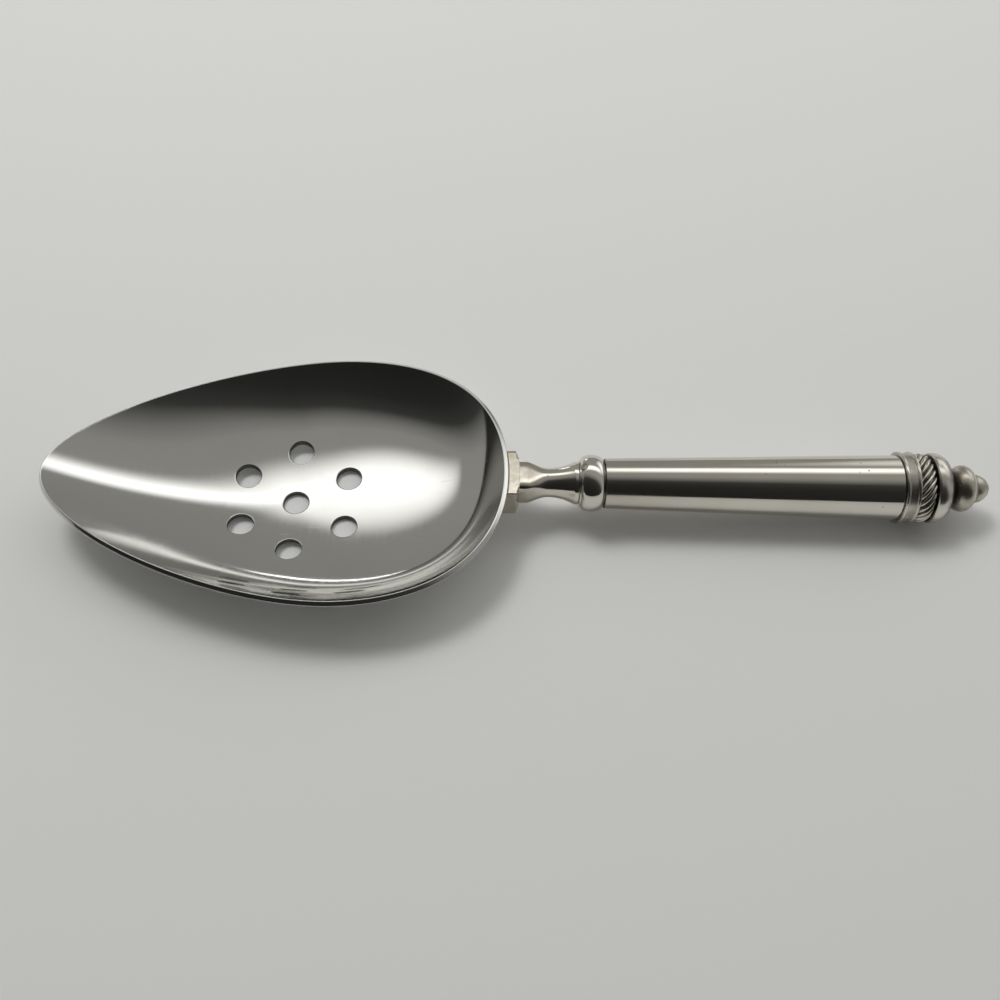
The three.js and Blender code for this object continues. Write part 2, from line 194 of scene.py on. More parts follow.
def sheet_normal(x, y):
    """Unit normal into the bowl: (-slope in x, -slope in y, 1), from central differences."""
    dx = (pressed_height(x + SLOPE_STEP, y) - pressed_height(x - SLOPE_STEP, y)) / (2 * SLOPE_STEP)
    dy = (pressed_height(x, y + SLOPE_STEP) - pressed_height(x, y - SLOPE_STEP)) / (2 * SLOPE_STEP)
    normal = np.stack([-dx, -dy, np.ones_like(dx)], axis=-1)
    return normal / np.linalg.norm(normal, axis=-1, keepdims=True)


print(f"rim: {RIM_HEIGHT:.2f} mm up at the sides, {RIM_HEIGHT + RIM_RISE:.2f} mm at both ends")

# %% [markdown]
# The sheet has an underside and an inside, one sheet thickness apart along the normal. Near the holes
# the inside point must stay straight above its plan point, so that the punched walls are upright.
# Near the rim it may lean with the wall. The upright argument says how much of the lean is undone.

# %% Underside and inside of the sheet
LEAN_ROUNDS = 3


def underside_point(x, y):
    """Point of the underside above a plan point; the base is flat where the sheet meets the floor."""
    return np.stack([x, y, np.maximum(pressed_height(x, y), 0)], axis=-1)


def inside_point(x, y, upright):
    """Point inside: the plan point, less the upright share of the lean, then out along the normal.

    The lean depends on where the point lands, so it is worked out in a few rounds.
    """
    px, py = x, y
    for _ in range(LEAN_ROUNDS):
        lean = sheet_normal(px, py) * BOWL_SHEET
        px = x - upright * lean[..., 0]
        py = y - upright * lean[..., 1]
    normal = sheet_normal(px, py)
    return np.stack([px, py, pressed_height(px, py)], axis=-1) + BOWL_SHEET * normal


print(f"sheet: {BOWL_SHEET} mm thick, with a flat base {BASE_FLAT_DEPTH} mm deep")

# %% [markdown]
# A hexagon round each hole leads from six straight edges in to the punched circle. Its rows crowd
# towards the hole, whose edge is broken more on the inside, where the wheel reached it, than below.
# One function makes all seven patches, because only their centres differ.

# %% Honeycomb round the holes
RING_HOLES = 6
EDGE_STEPS = 16
CELL_RADIUS = HOLE_RING_RADIUS / math.sqrt(3)

hexagon_turn = np.arange(RING_HOLES) * math.pi / 3
corners = CELL_RADIUS * np.stack([np.cos(hexagon_turn), np.sin(hexagon_turn)], axis=-1)
step = (np.arange(EDGE_STEPS) / EDGE_STEPS)[None, :, None]
hexagon = (corners[:, None] * (1 - step) + np.roll(corners, -1, axis=0)[:, None] * step).reshape(-1, 2)
hexagon_direction = hexagon / np.linalg.norm(hexagon, axis=1, keepdims=True)
ring_turn = math.pi / 6 + hexagon_turn
ring_centres = HOLE_RING_RADIUS * np.stack([np.cos(ring_turn), np.sin(ring_turn)], axis=-1)
hole_centres = np.vstack([[0, 0], ring_centres])
print(f"{len(hole_centres)} hexagons with sides of {CELL_RADIUS:.2f} mm")

# %% Patches from the hexagons to the holes
HOLE_ROWS = 9
HOLE_CROWDING = 1.5
HOLE_WALL_ROWS = (0.1, 0.9)
FILLET_STEPS = 5
HOLE_LOWER_FILLET = 0.12
HOLE_UPPER_FILLET = 0.3
HOLE_SUPPORT = 0.06


def hole_patch(centre):
    """From the hexagon in to the hole on the underside, up its wall, and out again on the inside.

    A row is a share of the way from a circle to the hexagon; the fillets are quarter circles in the
    plane of the radius and the height.
    """
    middle = np.array([holes_x, 0]) + centre
    share = np.linspace(0, 1, HOLE_ROWS)[:, None, None] ** HOLE_CROWDING
    arc = np.linspace(0, math.pi / 2, FILLET_STEPS)[:, None]

    def flat_rows(fillet):
        circle = (HOLE_RADIUS + fillet + HOLE_SUPPORT) * hexagon_direction
        return middle + circle * (1 - share) + hexagon * share

    def edge_rows(fillet):
        radius = HOLE_RADIUS + fillet * (1 - np.sin(arc))
        return middle + radius[..., None] * hexagon_direction, fillet * (1 - np.cos(arc))

    below = flat_rows(HOLE_LOWER_FILLET)
    low_edge, low_lift = edge_rows(HOLE_LOWER_FILLET)
    low = underside_point(low_edge[..., 0], low_edge[..., 1])
    low[..., 2] += low_lift
    above = flat_rows(HOLE_UPPER_FILLET)
    high_edge, high_drop = edge_rows(HOLE_UPPER_FILLET)
    high = inside_point(high_edge[..., 0], high_edge[..., 1], 1.0)
    high[..., 2] -= high_drop
    wall = low[-1:] + (high[-1:] - low[-1:]) * np.array(HOLE_WALL_ROWS)[:, None, None]
    return np.concatenate([
        underside_point(below[..., 0], below[..., 1])[::-1],
        low,
        wall,
        high[::-1],
        inside_point(above[..., 0], above[..., 1], 1.0),
    ])


patches = [hole_patch(centre)[:, ::-1] for centre in hole_centres]
print(f"{len(patches)} hole patches of {patches[0].shape[:2]} points")

# %% [markdown]
# A punch leaves the wall of a hole dull, and no wheel reaches it. A recess attribute on the mesh marks
# such places from 0, open and rubbed bright, to 1, the wall, so that a finish can darken them later. The
# dark colour there is partly the dull sheared steel and partly painted shade, as the wall stands in
# shade.

# %% Rows of a hole patch that are wall, dark with dull steel and painted shade
patch_wall_shade = np.concatenate([
    np.zeros(HOLE_ROWS),
    np.ones(FILLET_STEPS + len(HOLE_WALL_ROWS)),
    np.linspace(1, 0, FILLET_STEPS),
    np.zeros(HOLE_ROWS),
])
patch_recess = np.repeat(patch_wall_shade, len(hexagon))
print(f"wall rows in a patch: {int((patch_wall_shade > 0).sum())} of {len(patch_wall_shade)}")

# %% [markdown]
# The spoke ring starts on the zigzag edge of the honeycomb, climbs to the rim on the underside, goes
# round the cut edge, which a tool has broken by a quarter of a millimetre, and comes back inside.

# %% Spokes from the honeycomb to the rim
zigzag = []
for k, centre in enumerate(ring_centres):
    around = np.arange((k - 1) * EDGE_STEPS, (k + 2) * EDGE_STEPS) % len(hexagon)
    zigzag.append(centre + hexagon[around])
zigzag = np.vstack(zigzag)
spoke_angle = np.arctan2(zigzag[:, 1], zigzag[:, 0])
spoke_start = np.linalg.norm(zigzag, axis=1)
spoke_end = rim_reach(spoke_angle)
spoke_direction = np.stack([np.cos(spoke_angle), np.sin(spoke_angle)], axis=-1)

rim_plan = np.array([holes_x, 0]) + spoke_end[:, None] * spoke_direction
rim_point = np.column_stack([rim_plan, pressed_height(rim_plan[:, 0], rim_plan[:, 1])])
rim_normal = sheet_normal(rim_plan[:, 0], rim_plan[:, 1])
rim_run = np.roll(rim_point, -1, axis=0) - np.roll(rim_point, 1, axis=0)
rim_out = np.cross(rim_run, rim_normal)
rim_out /= np.linalg.norm(rim_out, axis=1, keepdims=True)
rim_lean = (rim_out[:, :2] * spoke_direction).sum(1)
print(f"{len(zigzag)} spokes end {spoke_end.min():.1f} to {spoke_end.max():.1f} mm from the middle hole")

# %% Rows of the spoke ring and the whole bowl
RIM_ROWS = 46
RIM_CROWDING = 1.35
RIM_FILLET = 0.25
RIM_SUPPORT = 0.12


def spoke_rows():
    """Plan points from the honeycomb to just short of the rim: share = 1 - (1 - step)^crowding."""
    share = 1 - (1 - np.linspace(0, 1, RIM_ROWS)) ** RIM_CROWDING
    stop = spoke_end - (RIM_FILLET + RIM_SUPPORT) * rim_lean
    reach = spoke_start + (stop - spoke_start) * share[:, None]
    plan = np.array([holes_x, 0]) + reach[..., None] * spoke_direction
    return plan, share[:, None]


def rim_rows():
    """Round the cut edge: quarter circle, flat, quarter circle, in the plane of normal and outward."""
    arc = np.linspace(0, math.pi / 2, FILLET_STEPS)
    face_start = RIM_FILLET + RIM_SUPPORT
    face_end = BOWL_SHEET - face_start
    lower = RIM_FILLET * (1 - np.cos(arc))
    upper = BOWL_SHEET - RIM_FILLET * (1 - np.sin(arc))
    out = np.concatenate([RIM_FILLET * (np.sin(arc) - 1), [0, 0], RIM_FILLET * (np.cos(arc) - 1)])
    up = np.concatenate([lower, [face_start, face_end], upper])
    return rim_point + out[:, None, None] * rim_out + up[:, None, None] * rim_normal


plan, climb = spoke_rows()
under_rows = underside_point(plan[..., 0], plan[..., 1])
inside_rows = inside_point(plan[..., 0], plan[..., 1], 1 - climb)
spoke_ring = np.concatenate([under_rows, rim_rows(), inside_rows[::-1]])

ring_recess = np.zeros(spoke_ring.shape[0] * spoke_ring.shape[1])
bowl_recess = np.concatenate([ring_recess] + [patch_recess] * len(patches))
bowl = make_piece("pierced_bowl", [spoke_ring] + patches, recess=bowl_recess)

# %% [markdown]
# The handle leans a little, because the spoon rests on its bowl and on the collar at the far end. All
# handle pieces are worked out along a straight axis and then put in place by one turn and one shift.

# %% Sizes of the handle
FLANGE_WIDTH, FLANGE_HEIGHT, FLANGE_THICKNESS, FLANGE_CHAMFER = 14.4, 8.9, 2.65, 0.8
STEM_WIDTH, STEM_HEIGHT, STEM_SQUARE_LENGTH = 9.5, 8.2, 2.3
STEM_SQUARE_POWER, STEM_ROUND_POWER = 0.38, 1.0
WAIST_DIAMETER, WAIST_FROM_FLANGE = 7.8, 7.85
FLARE_DIAMETER, FLARE_LENGTH, FLARE_LIP = 11.5, 7.0, 1.05
BEAD_DIAMETER, BEAD_LENGTH, BEAD_LIP_DIAMETER, BEAD_LIP_LENGTH = 15.3, 6.3, 12.6, 0.2
BEAD_SPIGOT_LENGTH = 8.0
TUBE_LENGTH, TUBE_FRONT_DIAMETER, TUBE_END_DIAMETER, TUBE_WALL = 78.0, 13.4, 17.5, 0.9
TANG_BORE, TANG_IN_STEM = 2.3, 6.0
COLLAR_LENGTH, COLLAR_DIAMETER, COLLAR_BAND_DEPTH, COLLAR_LIP = 3.8, 19.4, 0.35, 0.9
ROPE_WIDTH, ROPE_DIAMETER, ROPE_CROWN = 4.1, 18.8, 0.9
ROPE_STRANDS, ROPE_GROOVE, ROPE_LEAN_STRANDS = 24, 0.55, 2.35
CAP_LENGTH, CAP_DIAMETER, CAP_EDGE_BEVEL = 4.65, 18.9, 0.4
CAP_SHOULDER_LENGTH, CAP_SHOULDER_HEIGHT = 3.4, 3.0
CAP_SPIGOT_RADIUS, CAP_SPIGOT_IN_TUBE = 6.0, 7.0
BALL_DIAMETER, BALL_LENGTH, BALL_NECK_DIAMETER, BALL_NECK_LENGTH = 12.5, 8.0, 7.6, 1.2
TIP_DIAMETER, TIP_LENGTH, TIP_STEP = 7.8, 4.3, 0.15
PIN_RADIUS, PIN_LENGTH = 2.2, 5.0
print(f"handle: tube {TUBE_LENGTH} mm long, rope of {ROPE_STRANDS} strands")

# %% Stations along the handle, and its lean
flange_back = FLANGE_THICKNESS
square_end = flange_back + STEM_SQUARE_LENGTH
waist = flange_back + WAIST_FROM_FLANGE
flare_top = waist + FLARE_LENGTH
stem_end = flare_top + FLARE_LIP
bead_start = stem_end + JOINT_GAP
bead_end = bead_start + BEAD_LENGTH
tube_start = bead_end + JOINT_GAP
tube_end = tube_start + TUBE_LENGTH
collar_start = tube_end + JOINT_GAP
collar_end = collar_start + COLLAR_LENGTH
rope_start = collar_end + JOINT_GAP
rope_end = rope_start + ROPE_WIDTH
cap_start = rope_end + JOINT_GAP
cap_end = cap_start + CAP_LENGTH
neck_start = cap_end + JOINT_GAP

handle_height = RIM_HEIGHT + RIM_RISE - FLANGE_HEIGHT / 2
collar_radius = COLLAR_DIAMETER / 2
collar_reach = math.hypot(collar_end - COLLAR_LIP / 2, collar_radius)
handle_lean = math.asin(handle_height / collar_reach) - math.asin(collar_radius / collar_reach)


def handle_to_world(points):
    """Turn by the handle's lean about Y, then shift to the back rim at the handle's height."""
    x, y, z = np.moveaxis(points, -1, 0)
    cos, sin = math.cos(handle_lean), math.sin(handle_lean)
    return np.stack([back_x + x * cos + z * sin, y, handle_height - x * sin + z * cos], axis=-1)


print(f"handle leans by {math.degrees(handle_lean):.2f} degrees, rests {collar_end:.1f} mm along")

# %% [markdown]
# The neck is one casting: a flange fitted to the bowl's back, and a stem that goes from square through
# a round waist to a flare. Its sections all have the form of a superellipse, whose power makes it a
# rounded square or a circle, so the whole casting is one skin of sections carried along the axis.

# %% Sections of the neck
FLANGE_POWER = 0.045
SEAM_GAP = 0.08
SEARCH_FROM, SEARCH_TO, HALVINGS = -30.0, 6.0, 40


def section(half_width, half_height, power, angle):
    """Superellipse in polar form: radius = (|cos/a|^n + |sin/b|^n)^(-1/n), with n = 2 / power."""
    n = 2 / power
    across = np.abs(np.cos(angle) / half_width) ** n
    upward = np.abs(np.sin(angle) / half_height) ** n
    radius = (across + upward) ** (-1 / n)
    return radius * np.cos(angle), radius * np.sin(angle)


def bowl_back(y, z):
    """Place along the handle axis where a point at (y, z) is one seam behind the bowl, by halving."""
    low = np.full_like(y, SEARCH_FROM)
    high = np.full_like(y, SEARCH_TO)
    for _ in range(HALVINGS):
        middle = (low + high) / 2
        world = handle_to_world(np.stack([middle, y, z], axis=-1))
        depth = pressed_height(world[..., 0], world[..., 1]) - world[..., 2]
        outside = depth * sheet_normal(world[..., 0], world[..., 1])[..., 2] > SEAM_GAP
        high = np.where(outside, middle, high)
        low = np.where(outside, low, middle)
    return (low + high) / 2


def stem_half(x, square):
    """Half width of the stem: two parabolic coves that meet at the waist."""
    before = np.clip((waist - x) / (waist - square_end), 0, 1) ** 2
    after = np.clip((x - waist) / FLARE_LENGTH, 0, 1) ** 2
    narrow = WAIST_DIAMETER / 2
    return narrow + (square - narrow) * before + (FLARE_DIAMETER / 2 - narrow) * after


def stem_power(x):
    """Corner power of the stem's section: nearly square at the flange, round from the waist on."""
    share = np.clip((x - square_end) / (waist - square_end), 0, 1)
    return STEM_SQUARE_POWER + (STEM_ROUND_POWER - STEM_SQUARE_POWER) * share**2 * (3 - 2 * share)


print(f"stem: square to {square_end:.2f} mm, waist at {waist:.2f} mm, ends at {stem_end:.2f} mm")

# %% Skin of the neck
NECK_SIDES = 256
NECK_FILLET = 0.18
FACE_SHARES = (0.0, 0.2, 0.4, 0.6, 0.8, 0.93, 0.975)
SIDE_SHARES = (0.0, 0.05, 0.5, 0.95, 1.0)
CHAMFER_SHARES = (0.04, 0.5, 0.96, 1.0)
STEP_LIFT = 0.01
SQUARE_ROWS = (0.05, 0.2, 0.6, 1.0)
STEM_ROWS = 48
LIP_START, LIP_SUPPORT, LIP_ROUND, LIP_CORNER = 0.1, 0.3, 0.2, 0.06


def ring_at(x, outline):
    """Row of neck points: an outline (y, z) at one place, or at a place for each point, on the axis."""
    y, z = outline
    return np.stack([np.broadcast_to(x, y.shape), y, z], axis=-1)


def neck_grid():
    """Front face fitted to the bowl, flange, stem rows, lip, end face and the socket for the rod."""
    angle = np.linspace(0, 2 * math.pi, NECK_SIDES, endpoint=False)
    wide, tall = FLANGE_WIDTH / 2, FLANGE_HEIGHT / 2
    y, z = section(wide, tall, FLANGE_POWER, angle)
    rows = [ring_at(bowl_back(size * y, size * z), (size * y, size * z)) for size in FACE_SHARES]
    front = bowl_back(y, z) + NECK_FILLET
    chamfer_start = flange_back - FLANGE_CHAMFER
    rows += [ring_at(front + (chamfer_start - front) * share, (y, z)) for share in SIDE_SHARES]
    for share in CHAMFER_SHARES:
        outline = section(wide + (STEM_WIDTH / 2 - wide) * share, tall, FLANGE_POWER, angle)
        rows.append(ring_at(flange_back - FLANGE_CHAMFER * (1 - share), outline))
    for height in (tall - NECK_FILLET, STEM_HEIGHT / 2 + NECK_FILLET):
        outline = section(STEM_WIDTH / 2, height, FLANGE_POWER, angle)
        rows.append(ring_at(flange_back + STEP_LIFT, outline))
    cove = np.linspace(square_end, flare_top, STEM_ROWS)
    for x in np.concatenate([flange_back + np.array(SQUARE_ROWS), cove]):
        half_width, half_height = stem_half(x, STEM_WIDTH / 2), stem_half(x, STEM_HEIGHT / 2)
        rows.append(ring_at(x, section(half_width, half_height, stem_power(x), angle)))
    flare = FLARE_DIAMETER / 2
    socket = stem_end - TANG_IN_STEM - FIT_GAP
    lip_rows = [
        (flare_top + LIP_START, flare),
        (stem_end - LIP_SUPPORT, flare),
        (stem_end - LIP_ROUND, flare),
        (stem_end - LIP_CORNER, flare - LIP_CORNER),
        (stem_end, flare - LIP_ROUND),
        (stem_end, flare - LIP_SUPPORT),
        (stem_end, TANG_BORE),
        (socket, TANG_BORE),
        (socket, 0.0),
    ]
    rows += [ring_at(x, (radius * np.cos(angle), radius * np.sin(angle))) for x, radius in lip_rows]
    return np.stack(rows)


neck_points = neck_grid()
neck_tarnish = np.clip((waist - neck_points[..., 0]) / (waist - square_end), 0, 1)
neck = make_piece("waisted_neck", [handle_to_world(neck_points)], tarnish=neck_tarnish)

# %% [markdown]
# Bead, tube, collar, cap and finial are turned or drawn round one axis, so each is a profile of
# (distance, radius) points carried round it. Every corner of a profile is broken by a small arc, with
# a point close to each end of the arc, so that the smooth shading stays flat on the long faces.

# %% Profiles and how they are carried round
TURNED_SIDES = 192
ARC_STEPS, ARC_SUPPORT, ARC_LIMIT = 6, 0.15, 0.45
CORNER_POINTS = ARC_STEPS + 2
SHORTEST = 1e-9


def broken(corner_points, radii):
    """Round each corner of a polyline: quadratic arc between points one radius before and after it."""
    points = np.asarray(corner_points, float)
    before = np.roll(points, 1, axis=0) - points
    after = np.roll(points, -1, axis=0) - points
    length_before = np.linalg.norm(before, axis=1, keepdims=True)
    length_after = np.linalg.norm(after, axis=1, keepdims=True)
    shorter = np.minimum(length_before, length_after)
    radius = np.minimum(np.asarray(radii, float)[:, None], ARC_LIMIT * shorter)
    before = before / np.maximum(length_before, SHORTEST) * radius
    after = after / np.maximum(length_after, SHORTEST) * radius
    t = np.linspace(0, 1, ARC_STEPS)[:, None]
    arcs = (1 - t) ** 2 * before[:, None] + t**2 * after[:, None]
    first = arcs[:, :1] + ARC_SUPPORT * before[:, None]
    last = arcs[:, -1:] + ARC_SUPPORT * after[:, None]
    return (points[:, None] + np.concatenate([first, arcs, last], axis=1)).reshape(-1, 2)


def turned(profile):
    """Carry (distance, radius) points round the handle axis: y = radius cos, z = radius sin."""
    angle = np.linspace(0, 2 * math.pi, TURNED_SIDES, endpoint=False)
    distance, radius = np.asarray(profile, float).T
    along = np.broadcast_to(distance[:, None], (len(distance), TURNED_SIDES))
    grid = np.stack([along, radius[:, None] * np.cos(angle), radius[:, None] * np.sin(angle)], axis=-1)
    return handle_to_world(grid)


print(f"turned pieces have {TURNED_SIDES} sides and {CORNER_POINTS} points at each corner")

# %% Hollows, closed profiles, arcs and the taper
HOLLOW_REACH, HOLLOW_DEPTH = 0.8, 0.7


def hollow_share(profile):
    """How far each profile point lies below the highest point near it, as a share of a set depth."""
    distance, radius = np.asarray(profile, float).T
    near = np.abs(distance[:, None] - distance) < HOLLOW_REACH
    highest = np.where(near, radius, 0).max(axis=1)
    share = np.clip((highest - radius) / HOLLOW_DEPTH, 0, 1)
    return np.repeat(share, TURNED_SIDES)


def closed(profile):
    """Repeat a profile's first point at its end, so that the carried skin closes on itself."""
    return np.vstack([profile, profile[:1]])


def ellipse_arc(middle, half_length, half_height, base, start, stop, steps):
    """(distance, radius) along an ellipse: middle + length sin(angle), base + height cos(angle)."""
    angle = np.linspace(start, stop, steps)
    return np.column_stack([middle + half_length * np.sin(angle), base + half_height * np.cos(angle)])


def tube_radius(x):
    """Outer radius of the tube: a straight taper from its front to its end."""
    growth = (TUBE_END_DIAMETER - TUBE_FRONT_DIAMETER) * (x - tube_start) / TUBE_LENGTH
    return (TUBE_FRONT_DIAMETER + growth) / 2


print(f"tube radius: {tube_radius(tube_start):.2f} to {tube_radius(tube_end):.2f} mm")

# %% [markdown]
# The bead hides the seam between stem and tube. It has a thin lip on each side of a round swelling,
# and a spigot that reaches into the tube. A torus could stand for the swelling, but a profile gives
# the lips and the spigot in the same skin.

# %% Bead ring
JOINT_SHADE = 0.45
SWELLING_STEPS = 40
BEAD_EDGE, BORE_EDGE = 0.15, 0.1
SPIGOT_FOOT, SPIGOT_EDGE = 0.05, 0.2


def joint_share(profile, joint):
    """Sheltered share beside a joint: 1 at the joint, falling evenly to 0 one shade width away."""
    share = np.clip(1 - np.abs(profile[:, 0] - joint) / JOINT_SHADE, 0, 1)
    return np.repeat(share, TURNED_SIDES)


lip = BEAD_LIP_DIAMETER / 2
bead_front = stem_end + SEAM_GAP
half_bead = BEAD_LENGTH / 2
spigot = tube_radius(tube_start) - TUBE_WALL - FIT_GAP
spigot_end = tube_start + BEAD_SPIGOT_LENGTH
swelling = ellipse_arc(bead_start + half_bead, half_bead - BEAD_LIP_LENGTH, BEAD_DIAMETER / 2 - lip, lip,
                       -math.pi / 2, math.pi / 2, SWELLING_STEPS)
front_corners = [(bead_front, TANG_BORE), (bead_front, lip), (bead_start + BEAD_LIP_LENGTH, lip)]
back_corners = [(bead_end - BEAD_LIP_LENGTH, lip), (bead_end, lip), (bead_end, spigot)]
spigot_corners = [
    (bead_end, spigot),
    (spigot_end, spigot),
    (spigot_end, TANG_BORE),
    (bead_front, TANG_BORE),
]
middle_corner = slice(CORNER_POINTS, 2 * CORNER_POINTS)
front_lip = broken(front_corners, [BORE_EDGE, BEAD_EDGE, 0])[middle_corner]
back_lip = broken(back_corners, [0, BEAD_EDGE, BORE_EDGE])[middle_corner]
inner = broken(spigot_corners, [SPIGOT_FOOT, SPIGOT_EDGE, SPIGOT_EDGE, BORE_EDGE])
bead_profile = closed(np.vstack([front_lip, swelling, back_lip, inner]))
bead = make_piece("bead_band", [turned(bead_profile)], recess=joint_share(bead_profile, bead_end))

# %% [markdown]
# The gripped tube is drawn from sheet and tapers by about four millimetres over its length. Its profile
# goes on round the inside, so that the wall has a real thickness and no modifier has to add it.

# %% Handle tube
TUBE_EDGE = 0.22
tube_back = collar_start - SEAM_GAP
front_radius, end_radius = tube_radius(tube_start), tube_radius(tube_back)
tube_corners = [
    (tube_start, front_radius - TUBE_WALL),
    (tube_start, front_radius),
    (tube_back, end_radius),
    (tube_back, end_radius - TUBE_WALL),
]
tube_profile = closed(broken(tube_corners, [BORE_EDGE, TUBE_EDGE, TUBE_EDGE, BORE_EDGE]))
tube = make_piece("grip_tube", [turned(tube_profile)], recess=joint_share(tube_profile, tube_start))

# %% [markdown]
# The cast end starts with a collar: a band between two rounded lips. The spoon rests on its lower edge.

# %% End collar
COLLAR_LIP_FLAT = 0.75
COLLAR_EDGES = (0.1, 0.25, 0.3, 0.2, 0.2, 0.3, 0.4, 0.1)
ring_bore = CAP_SPIGOT_RADIUS + FIT_GAP
band = collar_radius - COLLAR_BAND_DEPTH
lip_flat = COLLAR_LIP * COLLAR_LIP_FLAT
collar_corners = [
    (collar_start, ring_bore),
    (collar_start, collar_radius),
    (collar_start + lip_flat, collar_radius),
    (collar_start + COLLAR_LIP, band),
    (collar_end - COLLAR_LIP, band),
    (collar_end - lip_flat, collar_radius),
    (collar_end, collar_radius),
    (collar_end, ring_bore),
]
collar_profile = closed(broken(collar_corners, COLLAR_EDGES))
collar = make_piece("lipped_collar", [turned(collar_profile)], recess=hollow_share(collar_profile))

# %% [markdown]
# The rope ring is cast as twisted strands. Its surface is a barrel whose radius drops into a groove
# between strands, and every strand leans as it crosses the ring. Separate swept strands would cut
# through each other, while one height over the barrel gives a single closed skin.

# %% Rope ring
STRAND_STEPS = 16
ROPE_ROWS = 22


def rope_grid():
    """Radius = barrel - groove * (1 - hump), with hump = 1 - (2f - 1)^2 over one strand.

    The angle leans with x, and the bore closes the skin behind the strands.
    """
    turn = np.arange(ROPE_STRANDS * STRAND_STEPS) / (ROPE_STRANDS * STRAND_STEPS)
    across = np.linspace(0, 1, ROPE_ROWS)[:, None]
    strand = (turn * ROPE_STRANDS) % 1
    hump = 1 - (2 * strand - 1) ** 2
    barrel = ROPE_DIAMETER / 2 - ROPE_CROWN * (2 * across - 1) ** 2
    radius = barrel - ROPE_GROOVE * (1 - hump)
    angle = 2 * math.pi * ((across - 0.5) * ROPE_LEAN_STRANDS / ROPE_STRANDS - turn)
    x = np.broadcast_to(rope_start + ROPE_WIDTH * across, angle.shape)
    outer = np.stack([x, radius * np.sin(angle), radius * np.cos(angle)], axis=-1)
    plain = -2 * math.pi * turn
    bore_y, bore_z = ring_bore * np.sin(plain), ring_bore * np.cos(plain)
    ends = [np.full_like(plain, end) for end in (rope_end, rope_start)]
    bore = np.stack([np.stack([end, bore_y, bore_z], axis=-1) for end in ends])
    grid = np.concatenate([outer, bore, outer[:1]])
    grooves = np.broadcast_to(1 - hump, radius.shape)
    depth = np.concatenate([grooves, np.ones((len(ends), len(turn))), grooves[:1]])
    return grid, depth


rope_points, rope_depth = rope_grid()
rope = make_piece("rope_band", [handle_to_world(rope_points)], recess=rope_depth)

# %% [markdown]
# A rounded cap closes the tube. Its spigot passes through the rope and the collar into the tube, and
# its end has a socket for a pin. A profile lets the shoulder be a quarter of an ellipse, which a bevel
# on a cylinder could not be.

# %% End cap
SHOULDER_STEPS = 28
CAP_EDGES = (0, 0.2, 0.1, 0.15, 0.15, 0)
cap_radius = CAP_DIAMETER / 2
spigot_back = tube_end - CAP_SPIGOT_IN_TUBE
pin_floor = cap_end - PIN_LENGTH - FIT_GAP
pin_bore = PIN_RADIUS + FIT_GAP
shoulder = ellipse_arc(cap_end - CAP_SHOULDER_LENGTH, CAP_SHOULDER_LENGTH, CAP_SHOULDER_HEIGHT,
                       cap_radius - CAP_SHOULDER_HEIGHT, 0, math.pi / 2, SHOULDER_STEPS)
cap_corners = [
    (0, 0),
    (spigot_back, CAP_SPIGOT_RADIUS),
    (cap_start, CAP_SPIGOT_RADIUS),
    (cap_start, cap_radius - CAP_EDGE_BEVEL),
    (cap_start + CAP_EDGE_BEVEL, cap_radius),
    (cap_end, cap_radius),
]
cap_side = broken(cap_corners, CAP_EDGES)[CORNER_POINTS:-CORNER_POINTS]
cap_profile = np.vstack([
    [(spigot_back, 0.0)],
    cap_side,
    shoulder,
    [(cap_end, pin_bore), (pin_floor, pin_bore), (pin_floor, 0.0)],
])
cap = make_piece("rounded_cap", [turned(cap_profile)], recess=hollow_share(cap_profile))

# %% [markdown]
# The finial is turned in one piece: a pin, a short neck, a flattened ball and a small dome. Ball and
# dome are arcs of ellipses, and their angles follow from the radii at which they have to meet.

# %% Finial
FINIAL_SHELTER = 0.5
BALL_STEPS, DOME_STEPS = 48, 28
ball_radius, ball_half = BALL_DIAMETER / 2, BALL_LENGTH / 2
neck_angle = math.acos(BALL_NECK_DIAMETER / BALL_DIAMETER)
foot_angle = math.acos((TIP_DIAMETER / 2 + TIP_STEP) / ball_radius)
ball_centre = neck_start + BALL_NECK_LENGTH + ball_half * math.sin(neck_angle)
dome_base = ball_centre + ball_half * math.sin(foot_angle)
finial_profile = np.vstack([
    [(cap_end - PIN_LENGTH, 0.0), (cap_end - PIN_LENGTH, PIN_RADIUS), (neck_start, PIN_RADIUS),
     (neck_start, BALL_NECK_DIAMETER / 2)],
    ellipse_arc(ball_centre, ball_half, ball_radius, 0, -neck_angle, foot_angle, BALL_STEPS),
    ellipse_arc(dome_base, TIP_LENGTH, TIP_DIAMETER / 2, 0, 0, math.pi / 2, DOME_STEPS),
])
finial_profile[-1, 1] = 0.0
finial_recess = FINIAL_SHELTER * hollow_share(finial_profile)
finial = make_piece("ball_finial", [turned(finial_profile)], recess=finial_recess)

# %% [markdown]
# Each new piece takes the place of one CAD node. The node stays in the physics model, and the piece
# rides on the same body. Each row also gives a material slot name, which the loop does not use. The rod
# and the filler inside the handle stay as the CAD made them.

# %% Put the pieces on the frame
for piece, node, slot in (
    (bowl, "bowl", "bowl_steel"),
    (neck, "neck", "handle_plate"),
    (bead, "bead_ring", "handle_plate"),
    (tube, "handle_tube", "handle_plate"),
    (collar, "end_collar", "end_plate"),
    (rope, "rope_ring", "end_plate"),
    (cap, "end_cap", "end_plate"),
    (finial, "finial", "end_plate"),
):
    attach(piece, "root")
    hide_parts(node)
    print(f"{piece.name} stands for {node}")

# %% [markdown]
# Every finish here is built from the same few steps: a noise stretched along one direction for the
# lines that polishing leaves, a range that turns the noise into a roughness, a blend between two
# colours, and a bump. Object coordinates are in metres, so a scale of 2500 means lines 0.4 mm apart.

# %% Start of a finish, ranges and sums


